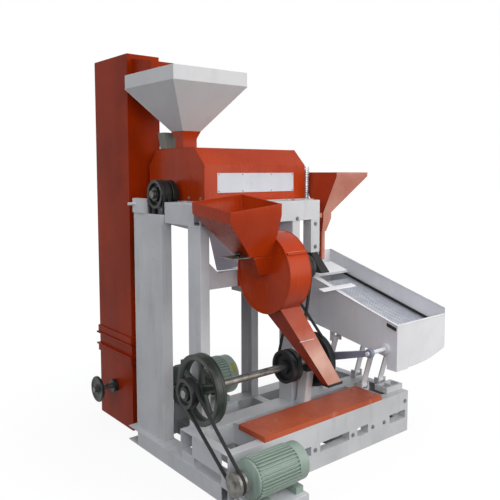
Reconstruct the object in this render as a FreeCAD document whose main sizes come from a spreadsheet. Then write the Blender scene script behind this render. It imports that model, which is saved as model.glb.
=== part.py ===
import FreeCAD, Part
import os
import re

# Combined dal mill: emery roller unit on a channel-iron frame, burr mill in front,
# bucket elevator behind and a rocking sieve on the right.
# Lengths are in millimetres. The layout is drawn from the front left corner of the
# main frame on the floor: +X to the sieve, +Y to the elevator, +Z up.

doc = FreeCAD.newDocument("dal_mill")
dims = doc.addObject("Spreadsheet::Sheet", "dims")

SIZES = {
    # Main frame and the two-tier base
    "frame_length": 744, "frame_width": 600, "frame_height": 1250, "post_web": 100,
    "post_flange": 50, "channel_wall": 5, "beam_depth": 100, "post_pair_setback": 190,
    "base_left": 50, "base_reach": 414, "base_front": 265, "rail_width": 50,
    "lower_rail_height": 75, "spacer_height": 45, "upper_rail_height": 100,
    "right_beam_reach": 270, "cross_rail_first": 180, "pedestal_offset": 10,
    "spacer_length": 60, "wide_spacer_length": 170, "mid_rail_bottom": 864,
    "mid_rail_height": 72, "rail_inset": 10, "gusset_leg": 55, "gusset_thickness": 8,
    "hanger_width": 62, "hanger_depth": 60, "hanger_drop": 170, "buffer_drop": 110,
    "buffer_lean": 52,
    # Plank and motor bed
    "plank_left": 149, "plank_right_gap": 219, "plank_width": 185,
    "plank_thickness": 25, "bed_inset": 60, "bed_end_gap": 34, "bed_width": 240,
    "bed_wall": 8, "bed_drop": 18,
    # Roller unit
    "shaft_radius": 20, "shaft_setback": 220, "shaft_rise": 35, "shaft_left": 25,
    "shaft_reach": 71, "run_clearance": 0.05, "roller_radius": 105, "roller_inset": 54,
    "roller_end_gap": 79, "trough_gap": 14, "deck_thickness": 3, "hood_left": 114,
    "hood_overhang": 13, "hood_width": 500, "hood_side_height": 174, "hood_facet": 82,
    "hood_wall": 3, "shaft_hole_radius": 26, "panel_inset": 74, "panel_end_gap": 81,
    "panel_rise": 41, "panel_height": 94, "panel_thickness": 2,
    "flange_bearing_radius": 34, "hose_radius": 13, "hose_rib": 3, "hose_inset": 12,
    "hose_offset": 25, "hose_top": 155, "hose_drop": 165, "hose_pitch": 12,
    "flange_bearing_length": 12, "main_pulley_left": -8, "main_pulley_radius": 70,
    "main_pulley_width": 60, "end_pulley_radius": 72, "end_pulley_width": 30,
    "end_pulley_gap": 15, "groove_depth": 10, "belt_width": 13, "belt_thickness": 9,
    "belt_gap": 0.4,
    # Belt guard and tension block
    "guard_forward": 74, "guard_width": 266, "guard_depth": 58, "guard_gap": 16,
    "guard_drop": 60, "sheet_wall": 3, "tension_block_width": 26,
    "tension_block_height": 72, "tension_block_length": 108, "tension_screw_length": 36,
    "tension_screw_radius": 8,
    # Feed hopper, neck and dust spout
    "neck_inset": 46, "neck_forward": 28, "neck_length": 80, "neck_width": 70,
    "neck_height": 46, "flare_height": 36, "outlet_size": 105, "rim_length": 412,
    "rim_width": 449, "funnel_height": 209, "rim_height": 65, "rim_overhang": 180,
    "dust_inset": 6, "dust_setback": 90, "dust_size": 62, "dust_height": 82,
    "dust_top_growth": 14,
    # Collecting hopper and transfer spout under the roller
    "collector_gap": 10, "collector_clearance": 4, "collector_rear_gap": 56,
    "collector_drop": 170, "collector_outlet": 90, "collector_outlet_step": 2,
    "collector_outlet_width": 110, "transfer_overlap": 70, "transfer_drop": 20,
    "transfer_height": 60,
    # Burr mill in front of the frame
    "mill_left": 204, "mill_width": 115, "mill_y": -190, "mill_rise": 87,
    "mill_radius": 180, "mill_wall": 4, "split_rise": 99, "mill_shaft_radius": 17.5,
    "stone_radius": 150, "stone_thickness": 32, "stone_gap": 4,
    "mill_pulley_radius": 55, "mill_pulley_gap": 25, "mill_pulley_width": 48,
    "throat_length": 100, "throat_width": 116, "mill_rim": 270,
    "mill_funnel_height": 190, "mill_rim_height": 50, "mill_lean_x": 7,
    "mill_lean_y": 5.6, "mill_rim_shift_x": 12, "mill_rim_shift_y": 29,
    "inlet_width": 60, "inlet_drop": 3, "inlet_height": 50, "gate_rise": 81,
    "gate_thickness": 4, "gate_width": 96, "gate_length": 190, "gate_end_gap": 8,
    "gate_slot_gap": 0.5, "knob_radius": 14, "knob_height": 22, "knob_inset": 40,
    "saddle_depth": 60, "mill_bearing_gap": 26, "mill_bearing_length": 60,
    "mill_bearing_radius": 42, "chute_drop": 135, "chute_bottom": 395,
    "chute_forward": 103, "chute_top_depth": 143, "chute_reach": 312,
    "chute_mouth_length": 88, "chute_mouth_depth": 40,
    # Countershaft
    "counter_y": -75, "counter_z": 453, "counter_radius": 17.5, "counter_left": 146,
    "counter_end": 8, "flywheel_left": 76, "flywheel_width": 50, "flywheel_radius": 155,
    "flywheel_rim": 18, "hub_radius": 36, "spoke_width": 26, "input_pulley_left": 141,
    "input_pulley_radius": 64, "input_pulley_width": 40, "black_pulley_radius": 80,
    "black_pulley_width": 60, "ring_pulley_gap": 12, "ring_pulley_radius": 135,
    "ring_pulley_width": 36, "pillow_length": 46, "pillow_radius": 38,
    "pillow_height": 120, "foot_plate": 12, "pedestal_gap": 4, "eccentric_gap": 16,
    "eccentric_width": 30, "eccentric_radius": 34, "eccentric_offset": 5,
    "strap_bore": 50, "strap_radius": 66, "rod_width": 22, "rod_height": 44,
    "rod_pin_inset": 65, "rod_pin_rise": 52, "rod_pin_radius": 10,
    # Motors
    "motor_radius": 104, "motor_z": 307, "motor_left": 100, "motor_length": 344,
    "end_wall": 12, "air_gap": 1.5, "motor_foot": 40, "motor_shaft_radius": 14,
    "motor_pulley_radius": 50, "front_motor_radius": 84, "front_motor_left": 84,
    "front_motor_length": 290, "front_motor_y": -420, "front_motor_z": 190,
    "front_pulley_radius": 50, "stand_length": 240, "stand_width": 190,
    # Husk fan
    "fan_inset": 70, "fan_length": 104, "fan_y": 225, "fan_drop": 400, "fan_radius": 98,
    "fan_shaft_radius": 12, "fan_pulley_radius": 45, "impeller_radius": 80,
    "fan_inlet_radius": 50, "fan_outlet_reach": 190, "fan_outlet_height": 78,
    "fan_bracket_length": 40,
    # Bucket elevator
    "leg_left": 14, "leg_length": 188, "leg_gap": 75, "leg_width": 381,
    "elevator_rise": 750, "boot_height": 400, "flange_rib": 15, "rib_thickness": 8,
    "rib_pitch": 66, "boot_shaft_z": 205, "head_drop": 200, "elevator_shaft_radius": 15,
    "belt_pulley_radius": 100, "belt_pulley_length": 140, "bucket_belt_width": 130,
    "bucket_belt_thickness": 5, "bucket_projection": 55, "bucket_height": 80,
    "bucket_pitch": 170, "bucket_width": 120, "wheel_radius": 70, "wheel_thickness": 22,
    "wheel_standoff": 110, "boss_radius": 34, "boss_length": 26, "discharge_width": 130,
    "discharge_inset": 25, "discharge_height": 70, "discharge_reach": 200,
    "spout_fall": 35, "inlet_inset": 86, "boot_inlet_z": 275, "boot_inlet_width": 90,
    "boot_inlet_height": 120, "boot_inlet_reach": 120, "gear_motor_length": 150,
    "gear_motor_radius": 48, "gear_box_size": 90,
    # Grading hopper and pipe
    "grading_offset": 24, "grading_length": 240, "grading_front": -50,
    "grading_width": 260, "grading_height": 190, "grading_lip": 20, "grading_gap": 46,
    "grading_neck_front": 20, "grading_neck_size": 60, "grading_neck_rise": 30,
    "pipe_radius": 15, "pipe_wall": 2, "pipe_drop": 100, "pipe_end_gap": 5,
    # Rocking sieve
    "sieve_gap": 60, "sieve_width": 390, "sieve_low_y": -460, "sieve_length": 810,
    "sieve_lift": 273, "sieve_low_depth": 207, "sieve_rise": 121,
    "sieve_high_depth": 311, "near_wall_step": 32, "sieve_wall": 3, "screen_depth": 110,
    "screen_thickness": 2, "screen_pitch": 62, "screen_slot": 26, "tray_length": 150,
    "spout_width": 88, "spout_length": 60, "spout_drop": 48, "leaf_rise": 262,
    "leaf_lean": 77, "leaf_thickness": 8, "leaf_width": 40, "foot_height": 30,
    "front_foot_y": 110, "rear_foot_y": 60, "leaf_front_inset": 149,
    "leaf_rear_inset": 30, "leaf_far_inset": 288, "lug_thickness": 10,
    "leaf_pin_radius": 6, "leaf_pin_gap": 0.3, "leaf_gap": 0.4,
    "sieve_rail_inset": 144,
    # Socket box
    "socket_length": 131, "socket_forward": 228, "socket_width": 84, "socket_height": 30,
}

# Places and lengths that follow from the sizes above
PLACES = {
    "post_pair_pitch": "frame_length - post_pair_setback",
    "base_right": "frame_length + base_reach",
    "pedestal_rail": "post_pair_pitch + pedestal_offset",
    "middle_rail": "(cross_rail_first + pedestal_rail) / 2 + 60",
    "sieve_rail": "frame_length + sieve_gap + sieve_rail_inset",
    "plank_length": "base_right - plank_left - plank_right_gap",
    "bed_left": "motor_left + bed_inset",
    "bed_length": "motor_length - bed_inset - bed_end_gap",
    "shaft_y": "frame_width - shaft_setback",
    "shaft_z": "frame_height + shaft_rise",
    "shaft_right": "frame_length + shaft_reach",
    "hood_length": "frame_length + hood_overhang - hood_left",
    "roller_left": "hood_left + roller_inset",
    "roller_length": "hood_length - roller_inset - roller_end_gap",
    "panel_left": "hood_left + panel_inset",
    "panel_length": "hood_length - panel_inset - panel_end_gap",
    "panel_bottom": "frame_height + deck_thickness + panel_rise",
    "end_pulley_left": "hood_left + hood_length + end_pulley_gap",
    "guard_front": "shaft_y - guard_forward",
    "guard_top": "frame_height - guard_drop",
    "neck_x": "hood_left + neck_inset",
    "neck_y": "shaft_y - neck_forward",
    "rim_bottom":
        "frame_height + deck_thickness + hood_side_height + "
        "hood_facet + neck_height + flare_height + funnel_height",
    "dust_left": "hood_left + dust_inset",
    "dust_front": "shaft_y + dust_setback",
    "collector_left": "post_flange + collector_gap",
    "collector_length": "frame_length - 2 * (post_flange + collector_gap)",
    "collector_front": "post_web + collector_clearance",
    "collector_width": "frame_width - collector_front - collector_rear_gap",
    "collector_outlet_y": "collector_front + collector_outlet_step",
    "transfer_length":
        "sieve_left + "
        "transfer_overlap - collector_left - collector_length",
    "mill_z": "mid_rail_bottom + mill_rise",
    "mill_split_z": "mill_z + split_rise",
    "mill_pulley_left": "mill_bearing_left + mill_bearing_length + mill_pulley_gap",
    "inlet_bottom": "mill_z - inlet_drop",
    "gate_z": "mill_z + gate_rise",
    "mill_bearing_left": "mill_left + mill_width + mill_bearing_gap",
    "chute_top": "mill_z - chute_drop",
    "chute_top_front": "mill_y - chute_forward",
    "chute_mouth_left": "mill_left + chute_reach",
    "counter_right": "eccentric_left + eccentric_width + counter_end",
    "ring_pulley_left": "post_pair_pitch + post_flange + ring_pulley_gap",
    "eccentric_left": "ring_pulley_left + ring_pulley_width + eccentric_gap",
    "rod_pin_y": "sieve_low_y + rod_pin_inset",
    "rod_pin_z": "sieve_low_bottom + rod_pin_rise",
    "fan_left": "post_pair_pitch - fan_inset",
    "fan_z": "frame_height - fan_drop",
    "leg_front": "frame_width + leg_gap",
    "elevator_height": "frame_height + elevator_rise",
    "head_shaft_z": "elevator_height - head_drop",
    "discharge_top": "elevator_height - discharge_inset",
    "spout_tip_top": "discharge_top - spout_fall",
    "inlet_left": "leg_left + inlet_inset",
    "grading_left": "grading_neck_left + grading_offset",
    "grading_top": "grading_neck_z + grading_height",
    "grading_neck_left": "frame_length + grading_gap",
    "grading_neck_z": "frame_height - beam_depth + grading_neck_rise",
    "pipe_top": "grading_neck_z - pipe_drop",
    "pipe_length": "pipe_top - sieve_high_top - pipe_end_gap",
    "sieve_left": "frame_length + sieve_gap",
    "sieve_low_bottom":
        "lower_rail_height + spacer_height + "
        "upper_rail_height + sieve_lift",
    "sieve_low_top": "sieve_low_bottom + sieve_low_depth",
    "sieve_high_bottom": "sieve_low_bottom + sieve_rise",
    "sieve_high_top": "sieve_high_bottom + sieve_high_depth",
    "leaf_near_front": "sieve_left + leaf_front_inset",
    "leaf_near_rear": "sieve_left + leaf_rear_inset",
    "leaf_far": "sieve_left + leaf_far_inset",
    "socket_left": "base_right - socket_length",
}

for row, (alias, value) in enumerate((SIZES | PLACES).items(), start=1):
    dims.set(f"A{row}", alias)
    dims.set(f"B{row}", f"={value}")
    dims.setAlias(f"B{row}", alias)
doc.recompute()


# Building helpers

def linked(text):
    """Turn bare size names in a formula into references to the sheet."""
    return re.sub(r"[a-z][a-z_]+", lambda found: "dims." + found.group(0)
                  if found.group(0) in SIZES | PLACES else found.group(0), str(text))


def bind(item, **formulas):
    for name, text in formulas.items():
        item.setExpression(name, linked(text))
    return item


def spot(item, x, y, z):
    for axis, text in zip("xyz", (x, y, z)):
        item.setExpression(f"Placement.Base.{axis}", linked(text))
    return item


def box(x, y, z, length, width, height):
    item = doc.addObject("Part::Box", "block")
    bind(item, Length=length, Width=width, Height=height)
    return spot(item, x, y, z)


TURNS = {
    "x": FreeCAD.Rotation(FreeCAD.Vector(0, 1, 0), 90),
    "y": FreeCAD.Rotation(FreeCAD.Vector(1, 0, 0), -90),
    "z": FreeCAD.Rotation(),
}


def rod(axis, x, y, z, radius, length):
    """A round bar that starts at the point and runs along the axis."""
    item = doc.addObject("Part::Cylinder", "bar")
    item.Placement = FreeCAD.Placement(FreeCAD.Vector(), TURNS[axis])
    bind(item, Radius=radius, Height=length)
    return spot(item, x, y, z)


def taper(axis, start, end, first, last):
    """A four-sided block between two rectangles that face along the axis."""
    item = doc.addObject("Part::Wedge", "taper")
    if axis == "x":
        turn = FreeCAD.Rotation(FreeCAD.Vector(0, 0, 1), -90)
        first = (f"-({first[1]})", f"-({first[0]})", first[2], first[3])
        last = (f"-({last[1]})", f"-({last[0]})", last[2], last[3])
    elif axis == "z":
        turn = FreeCAD.Rotation(FreeCAD.Vector(1, 0, 0), 90)
        first = (first[0], first[1], f"-({first[3]})", f"-({first[2]})")
        last = (last[0], last[1], f"-({last[3]})", f"-({last[2]})")
    else:
        turn = FreeCAD.Rotation()
    item.Placement = FreeCAD.Placement(FreeCAD.Vector(), turn)
    for name, text in zip(("Xmin", "Xmax", "Zmin", "Zmax"), first):
        item.setExpression(name, linked(text))
    for name, text in zip(("X2min", "X2max", "Z2min", "Z2max"), last):
        item.setExpression(name, linked(text))
    return bind(item, Ymin=start, Ymax=end)


def cut(base, *tools):
    item = doc.addObject("Part::Cut", "cut")
    item.Base = base
    item.Tool = tools[0] if len(tools) == 1 else fuse(*tools)
    return item


def fuse(*items):
    item = doc.addObject("Part::MultiFuse", "fuse")
    item.Shapes = list(items)
    return item


def group(*items):
    item = doc.addObject("Part::Compound", "group")
    item.Links = list(items)
    return item


def tube(axis, x, y, z, radius, bore, length):
    over = {"x": (f"{x} - 1", y, z), "y": (x, f"{y} - 1", z), "z": (x, y, f"{z} - 1")}
    return cut(rod(axis, x, y, z, radius, length),
               rod(axis, *over[axis], bore, f"{length} + 2"))


def channel(x, y, z, length, width, height, run, mouth, wall="channel_wall"):
    """A rolled channel: a box with one side open and both ends open along run."""
    low = [x, y, z]
    size = [length, width, height]
    inner_low = []
    inner_size = []
    for index, axis in enumerate("xyz"):
        if axis == run:
            inner_low.append(f"{low[index]} - 1")
            inner_size.append(f"{size[index]} + 2")
        elif mouth == "+" + axis:
            inner_low.append(f"{low[index]} + {wall}")
            inner_size.append(f"{size[index]}")
        elif mouth == "-" + axis:
            inner_low.append(f"{low[index]} - {wall}")
            inner_size.append(f"{size[index]}")
        else:
            inner_low.append(f"{low[index]} + {wall}")
            inner_size.append(f"{size[index]} - 2 * {wall}")
    return cut(box(*low, *size), box(*inner_low, *inner_size))


PIECES = {}

# The part's origin lies on the floor under the middle of its bounding box.
left_end = "(-counter_left)"
right_end = "(sieve_left + sieve_width)"
front_end = "(front_motor_y - stand_width / 2)"
rear_end = "(leg_front + leg_width + boot_inlet_reach)"
mid_x = f"({left_end} + {right_end}) / 2"
mid_y = f"({front_end} + {rear_end}) / 2"


def piece(label, item):
    """Name a finished sub-part and move it from the layout to the part's origin."""
    if item.TypeId in ("Part::Box", "Part::Cylinder", "Part::Wedge"):
        item = group(item)
    item.Label = label
    spot(item, f"-({mid_x})", f"-({mid_y})", "0")
    PIECES[label] = item
    return item


# Two-tier base: long channels on the floor, a shorter tier on spacers above them

upper_z = "(lower_rail_height + spacer_height)"
base_top = "(lower_rail_height + spacer_height + upper_rail_height)"
base_length = "(base_right + base_left)"
front_y = "(-base_front)"
cross_span = "(base_front + frame_width - rail_width - post_web)"
rear_rail_y = "(frame_width - post_web)"
cross_y = "(rail_width - base_front)"

lower_cross = []
for left in ("cross_rail_first", "middle_rail", "frame_length - rail_width"):
    lower_cross.append(channel(left, cross_y, "0", "rail_width", cross_span,
                               "lower_rail_height", "y", "+x"))
base_frame = [
    channel("-base_left", front_y, "0", base_length, "rail_width", "lower_rail_height",
            "x", "+y"),
    channel("-base_left", rear_rail_y, "0", base_length, "post_web", "lower_rail_height",
            "x", "+y"),
    channel("-base_left", cross_y, "0", "2 * base_left", cross_span,
            "lower_rail_height", "y", "+x"),
    channel("base_right - rail_width", cross_y, "0", "rail_width", cross_span,
            "lower_rail_height", "y", "-x"),
    *lower_cross]

spacer_spots = (("-base_left", "spacer_length"), ("cross_rail_first", "spacer_length"),
                ("middle_rail", "spacer_length"),
                ("frame_length - rail_width", "spacer_length"),
                ("frame_length + 90", "wide_spacer_length"),
                ("base_right - 20", "20"))
spacers = [box(left, front_y, "lower_rail_height", size, "rail_width", "spacer_height")
           for left, size in spacer_spots]
for left in ("-base_left + channel_wall", "cross_rail_first",
             "frame_length - rail_width", "base_right - rail_width"):
    spacers.append(box(left, "0", "lower_rail_height", "rail_width - channel_wall",
                       "post_web", "spacer_height"))
spacers.append(box("base_right - rail_width", "right_beam_reach - post_web",
                   "lower_rail_height", "rail_width", "post_web", "spacer_height"))
base_frame.extend(spacers)

upper_cross = []
for left in ("cross_rail_first", "pedestal_rail", "sieve_rail"):
    upper_cross.append(channel(left, cross_y, upper_z, "rail_width",
                               "base_front - rail_width", "upper_rail_height", "y", "+x"))
base_frame.extend([
    channel("-base_left", front_y, upper_z, base_length, "rail_width",
            "upper_rail_height", "x", "+y"),
    channel("-base_left", "0", upper_z, f"{base_length} - rail_width", "post_web",
            "upper_rail_height", "x", "-z"),
    channel("-base_left", cross_y, upper_z, "rail_width", "base_front - rail_width",
            "upper_rail_height", "y", "+x"),
    channel("base_right - rail_width", cross_y, upper_z, "rail_width",
            "base_front - rail_width + right_beam_reach", "upper_rail_height",
            "y", "-x"),
    *upper_cross])

# Main frame: four channel posts under a ring of channel beams

beam_bottom = "(frame_height - beam_depth)"
front_post_height = f"({beam_bottom} - {base_top})"
rear_post_height = f"({beam_bottom} - lower_rail_height)"
right_post_x = "(frame_length - post_flange)"

piece("front_posts", group(
    channel("0", "0", base_top, "post_flange", "post_web", front_post_height, "z",
            "+x"),
    channel("post_pair_pitch", "0", base_top, "post_flange", "post_web",
            front_post_height, "z", "+x")))
piece("rear_posts", group(
    channel("0", rear_rail_y, "lower_rail_height", "post_flange", "post_web",
            rear_post_height, "z", "+x"),
    channel(right_post_x, rear_rail_y, "lower_rail_height", "post_flange", "post_web",
            rear_post_height, "z", "-x")))

side_span = "(frame_width - 2 * post_flange)"
hanger_bottom = f"({beam_bottom} - hanger_drop)"
hanger_left = "(frame_length - hanger_width)"
piece("top_frame", fuse(
    channel("0", "0", beam_bottom, "frame_length", "post_flange", "beam_depth",
            "x", "+y"),
    channel("0", "frame_width - post_flange", beam_bottom, "frame_length",
            "post_flange", "beam_depth", "x", "-y"),
    channel("0", "post_flange", beam_bottom, "post_flange",
            "guard_front - 16 - post_flange", "beam_depth", "y", "+x"),
    channel("hood_left", "post_flange", beam_bottom, "post_flange - 8", side_span,
            "beam_depth", "y", "+x"),
    channel(right_post_x, "post_flange", beam_bottom, "post_flange", side_span,
            "beam_depth", "y", "-x"),
    box("0", "guard_front - 16", beam_bottom, "hood_left", "10", "beam_depth"),
    channel(hanger_left, "0", hanger_bottom, "hanger_width", "hanger_depth",
            "hanger_drop", "z", "+x"),
    box(hanger_left, "0", hanger_bottom, "hanger_width", "hanger_depth",
        "channel_wall"),
    box("leg_left + 40", "frame_width", f"{beam_bottom} + 10", "leg_length - 80",
        "leg_front - frame_width", "beam_depth - 20")))

mid_rail_top = "(mid_rail_bottom + mid_rail_height)"
gusset_depth = ("(rail_inset + 2)", "(rail_inset + 2 + gusset_thickness)")
piece("mid_front_rail", fuse(
    channel("post_flange", "rail_inset", "mid_rail_bottom",
            "post_pair_pitch - post_flange", "rail_width - rail_inset",
            "mid_rail_height", "x", "+y"),
    taper("x", "post_flange", "post_flange + gusset_leg",
          (*gusset_depth, mid_rail_top, f"{mid_rail_top} + gusset_leg"),
          (*gusset_depth, mid_rail_top, f"{mid_rail_top} + 2")),
    taper("x", "post_pair_pitch - gusset_leg", "post_pair_pitch",
          (*gusset_depth, mid_rail_top, f"{mid_rail_top} + 2"),
          (*gusset_depth, mid_rail_top, f"{mid_rail_top} + gusset_leg"))))

piece("rubber_buffer", taper(
    "z", f"{hanger_bottom} - buffer_drop", hanger_bottom,
    (f"{hanger_left} + buffer_lean", "frame_length + buffer_lean", "-26", "22"),
    (f"{hanger_left} + 8", "frame_length - 8", "8", "52")))

# Orange plank screwed over the front tier, with countersunk holes

plank_holes = []
for x in ("plank_left + 60", "plank_left + plank_length - 60"):
    for y in ("30 - base_front", "plank_width - 30 - base_front"):
        plank_holes.append(rod("z", x, y, f"{base_top} - 1", "5",
                               "plank_thickness + 2"))
piece("front_plank", cut(box("plank_left", front_y, base_top, "plank_length",
                             "plank_width", "plank_thickness"), *plank_holes))

# Roller unit: deck with a half-round trough, roller on its shaft, octagonal hood

deck_top = "(frame_height + deck_thickness)"
hood_front = "(shaft_y - hood_width / 2)"
hood_right = "(hood_left + hood_length)"
trough_radius = "(roller_radius + trough_gap)"
trough_left = "(roller_left - 8)"
trough_length = "(roller_length + 14)"
deck_plate = cut(
    box("hood_left", "60", "frame_height", "hood_length",
        "shaft_y + hood_width / 2 - 60 + 5", "deck_thickness"),
    box(trough_left, f"shaft_y - {trough_radius} + 9", "frame_height - 1",
        trough_length, f"2 * {trough_radius} - 18", "deck_thickness + 2"))
trough_ring = cut(
    rod("x", trough_left, "shaft_y", "shaft_z", f"{trough_radius} + sheet_wall",
        trough_length),
    rod("x", f"{trough_left} + sheet_wall", "shaft_y", "shaft_z", trough_radius,
        f"{trough_length} - 2 * sheet_wall"),
    box(f"{trough_left} - 1", f"shaft_y - {trough_radius} - 10", deck_top,
        f"{trough_length} + 2", f"2 * {trough_radius} + 20", "300"),
    box(f"{trough_left} + 120", "shaft_y - 14", f"shaft_z - {trough_radius} - 8",
        f"{trough_length} - 240", "28", "16"))
piece("roller_deck", fuse(deck_plate, trough_ring))


def hood_body(inset):
    """The hood's outline as a box under a ridge with sloping front and rear."""
    left = f"hood_left + {inset}"
    right = f"{hood_right} - {inset}"
    front = f"{hood_front} + {inset}"
    rear = f"{hood_front} + hood_width - {inset}"
    shoulder = f"{deck_top} + hood_side_height"
    top = f"{shoulder} + hood_facet - {inset}"
    return fuse(
        box(left, front, f"{deck_top} - {inset}", f"hood_length - 2 * {inset}",
            f"hood_width - 2 * {inset}", f"hood_side_height + {inset}"),
        taper("z", shoulder, top, (left, right, front, rear),
              (left, right, f"{front} + hood_facet", f"{rear} - hood_facet")))


hood_top = f"({deck_top} + hood_side_height + hood_facet)"
neck_left = "(neck_x - neck_length / 2)"
neck_front = "(neck_y - neck_width / 2)"
hood_sheet = cut(
    hood_body("0"), hood_body("hood_wall"),
    rod("x", "hood_left - 1", "shaft_y", "shaft_z", "shaft_hole_radius",
        "hood_length + 2"),
    box(f"{neck_left} + sheet_wall", f"{neck_front} + sheet_wall", f"{hood_top} - 10",
        "neck_length - 2 * sheet_wall", "neck_width - 2 * sheet_wall", "20"),
    box("dust_left + sheet_wall", "dust_front + sheet_wall", f"{hood_top} - 10",
        "dust_size - 2 * sheet_wall", "dust_size - 2 * sheet_wall", "20"))

piece("hood_panel", box("panel_left", f"{hood_front} - panel_thickness",
                        "panel_bottom", "panel_length", "panel_thickness",
                        "panel_height"))

piece("main_shaft", rod("x", "-shaft_left", "shaft_y", "shaft_z", "shaft_radius",
                        "shaft_right + shaft_left"))
piece("emery_roller", tube("x", "roller_left", "shaft_y", "shaft_z",
                           "roller_radius", "shaft_radius", "roller_length"))
bearing_bore = "(shaft_radius + run_clearance)"
piece("roller_bearings", group(
    tube("x", "hood_left - flange_bearing_length", "shaft_y", "shaft_z",
         "flange_bearing_radius", bearing_bore, "flange_bearing_length"),
    tube("x", hood_right, "shaft_y", "shaft_z", "flange_bearing_radius",
         bearing_bore, "flange_bearing_length")))


hose_x = f"({hood_right} + hose_offset)"
hose_y = f"({hood_front} + hose_inset)"
hose_z = f"({deck_top} + hose_top)"
hose_ribs = [rod("z", hose_x, hose_y, f"{hose_z} - hose_drop + 6 + {index} * hose_pitch",
                 "hose_radius + hose_rib", "6") for index in range(12)]
piece("ribbed_hose", fuse(
    rod("z", hose_x, hose_y, f"{hose_z} - hose_drop", "hose_radius",
        "hose_drop + hose_radius"),
    rod("x", hood_right, hose_y, hose_z, "hose_radius - 1", "hose_offset"),
    *hose_ribs))


def v_pulley(x, y, z, radius, width, bore, belts):
    """A belt pulley with one square-bottomed groove for each belt."""
    share = f"({width}) / {belts}"
    grooves = []
    for index in range(belts):
        middle = f"{x} + ({index} + 0.5) * {share}"
        low = f"{middle} - belt_width / 2 - 1"
        grooves.append(tube("x", low, y, z, f"{radius} + 1",
                            f"{radius} - groove_depth", "belt_width + 2"))
    return cut(tube("x", x, y, z, radius, bore, width), *grooves)


piece("main_pulley", fuse(
    v_pulley("main_pulley_left", "shaft_y", "shaft_z", "main_pulley_radius",
             "main_pulley_width", "shaft_radius", 2),
    tube("x", "main_pulley_left + main_pulley_width", "shaft_y", "shaft_z",
         "shaft_radius + 11", "shaft_radius", "36")))
piece("end_pulley", v_pulley("end_pulley_left", "shaft_y", "shaft_z",
                             "end_pulley_radius", "end_pulley_width",
                             "shaft_radius", 1))

# Twin belts in a folded sheet guard beside the left posts

def belt_outline(x, width, first, second, seat):
    """The filled outline of a belt that wraps two pulleys, grown by seat."""
    y_a, z_a, r_a = first
    y_b, z_b, r_b = second
    low = f"({r_a} - groove_depth + belt_gap + {seat})"
    high = f"({r_b} - groove_depth + belt_gap + {seat})"
    span = f"sqrt(({y_b} - {y_a})^2 + ({z_b} - {z_a})^2)"
    rise = f"(({low} - {high}) / {span})"
    reach = f"sqrt(1 - {rise}^2)"
    strands = doc.addObject("Part::Wedge", "strands")
    strands.Placement = FreeCAD.Placement(
        FreeCAD.Vector(), FreeCAD.Rotation(FreeCAD.Vector(1, 0, 0), 45))
    bind(strands, Xmin="0", Xmax=width, X2min="0", X2max=width,
         Ymin=f"{low} * {rise}", Ymax=f"{span} + {high} * {rise}",
         Zmin=f"-{low} * {reach}", Zmax=f"{low} * {reach}",
         Z2min=f"-{high} * {reach}", Z2max=f"{high} * {reach}")
    strands.setExpression("Placement.Rotation.Angle",
                          linked(f"atan2({z_b} - {z_a}; {y_b} - {y_a})"))
    spot(strands, x, y_a, z_a)
    return fuse(strands, rod("x", x, y_a, z_a, low, width),
                rod("x", x, y_b, z_b, high, width))


def belt(middle, first, second):
    left = f"{middle} - belt_width / 2"
    return cut(belt_outline(left, "belt_width", first, second, "belt_thickness"),
               belt_outline(f"{left} - 1", "belt_width + 2", first, second, "0"))


belt_share = "main_pulley_width / 2"
motor_belt_end = ("shaft_y", "motor_z", "motor_pulley_radius")
roller_belt_end = ("shaft_y", "shaft_z", "main_pulley_radius")
piece("main_belts", group(
    belt(f"main_pulley_left + 0.5 * {belt_share}", motor_belt_end, roller_belt_end),
    belt(f"main_pulley_left + 1.5 * {belt_share}", motor_belt_end, roller_belt_end)))

guard_left = "(-guard_gap)"
guard_height = "(guard_top - lower_rail_height)"
piece("belt_guard", fuse(
    box(guard_left, "guard_front", "lower_rail_height", "sheet_wall", "guard_width",
        guard_height),
    box(guard_left, "guard_front", "lower_rail_height", "guard_depth", "sheet_wall",
        guard_height),
    box(guard_left, "guard_front + guard_width - sheet_wall", "lower_rail_height",
        "guard_gap", "sheet_wall", guard_height)))

block_y = "(guard_front + guard_width - tension_block_length - 6)"
piece("tension_block", fuse(
    box("-tension_block_width", block_y, "guard_top", "tension_block_width",
        "tension_block_length", "tension_block_height"),
    rod("x", "-tension_block_width - tension_screw_length", f"{block_y} + 84",
        "guard_top + tension_block_height - 28", "tension_screw_radius",
        "tension_screw_length + 5")))

# Feed hopper over the hood, with its neck, and the spout that the dust leaves by


def shell(bottom, top, low, high, wall, lip="0"):
    """A tapered sheet hopper, open above and below, with a straight lip."""
    def rim(area, inset):
        left, right, front, rear = area
        return (f"{left} + {inset}", f"{right} - {inset}", f"{front} + {inset}",
                f"{rear} - {inset}")

    outside = [taper("z", bottom, top, low, high)]
    inside = [taper("z", bottom, top, rim(low, wall), rim(high, wall))]
    left, right, front, rear = low
    inside.append(box(f"{left} + {wall}", f"{front} + {wall}", f"{bottom} - 2",
                      f"({right}) - ({left}) - 2 * {wall}",
                      f"({rear}) - ({front}) - 2 * {wall}", "2"))
    left, right, front, rear = high
    inside.append(box(f"{left} + {wall}", f"{front} + {wall}", top,
                      f"({right}) - ({left}) - 2 * {wall}",
                      f"({rear}) - ({front}) - 2 * {wall}", f"{lip} + 2"))
    if lip != "0":
        outside.append(box(left, front, top, f"({right}) - ({left})",
                           f"({rear}) - ({front})", lip))
    return cut(fuse(*outside) if len(outside) > 1 else outside[0], fuse(*inside))


def around(x, y, length, width):
    return (f"({x} - {length} / 2)", f"({x} + {length} / 2)", f"({y} - {width} / 2)",
            f"({y} + {width} / 2)")


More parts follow.
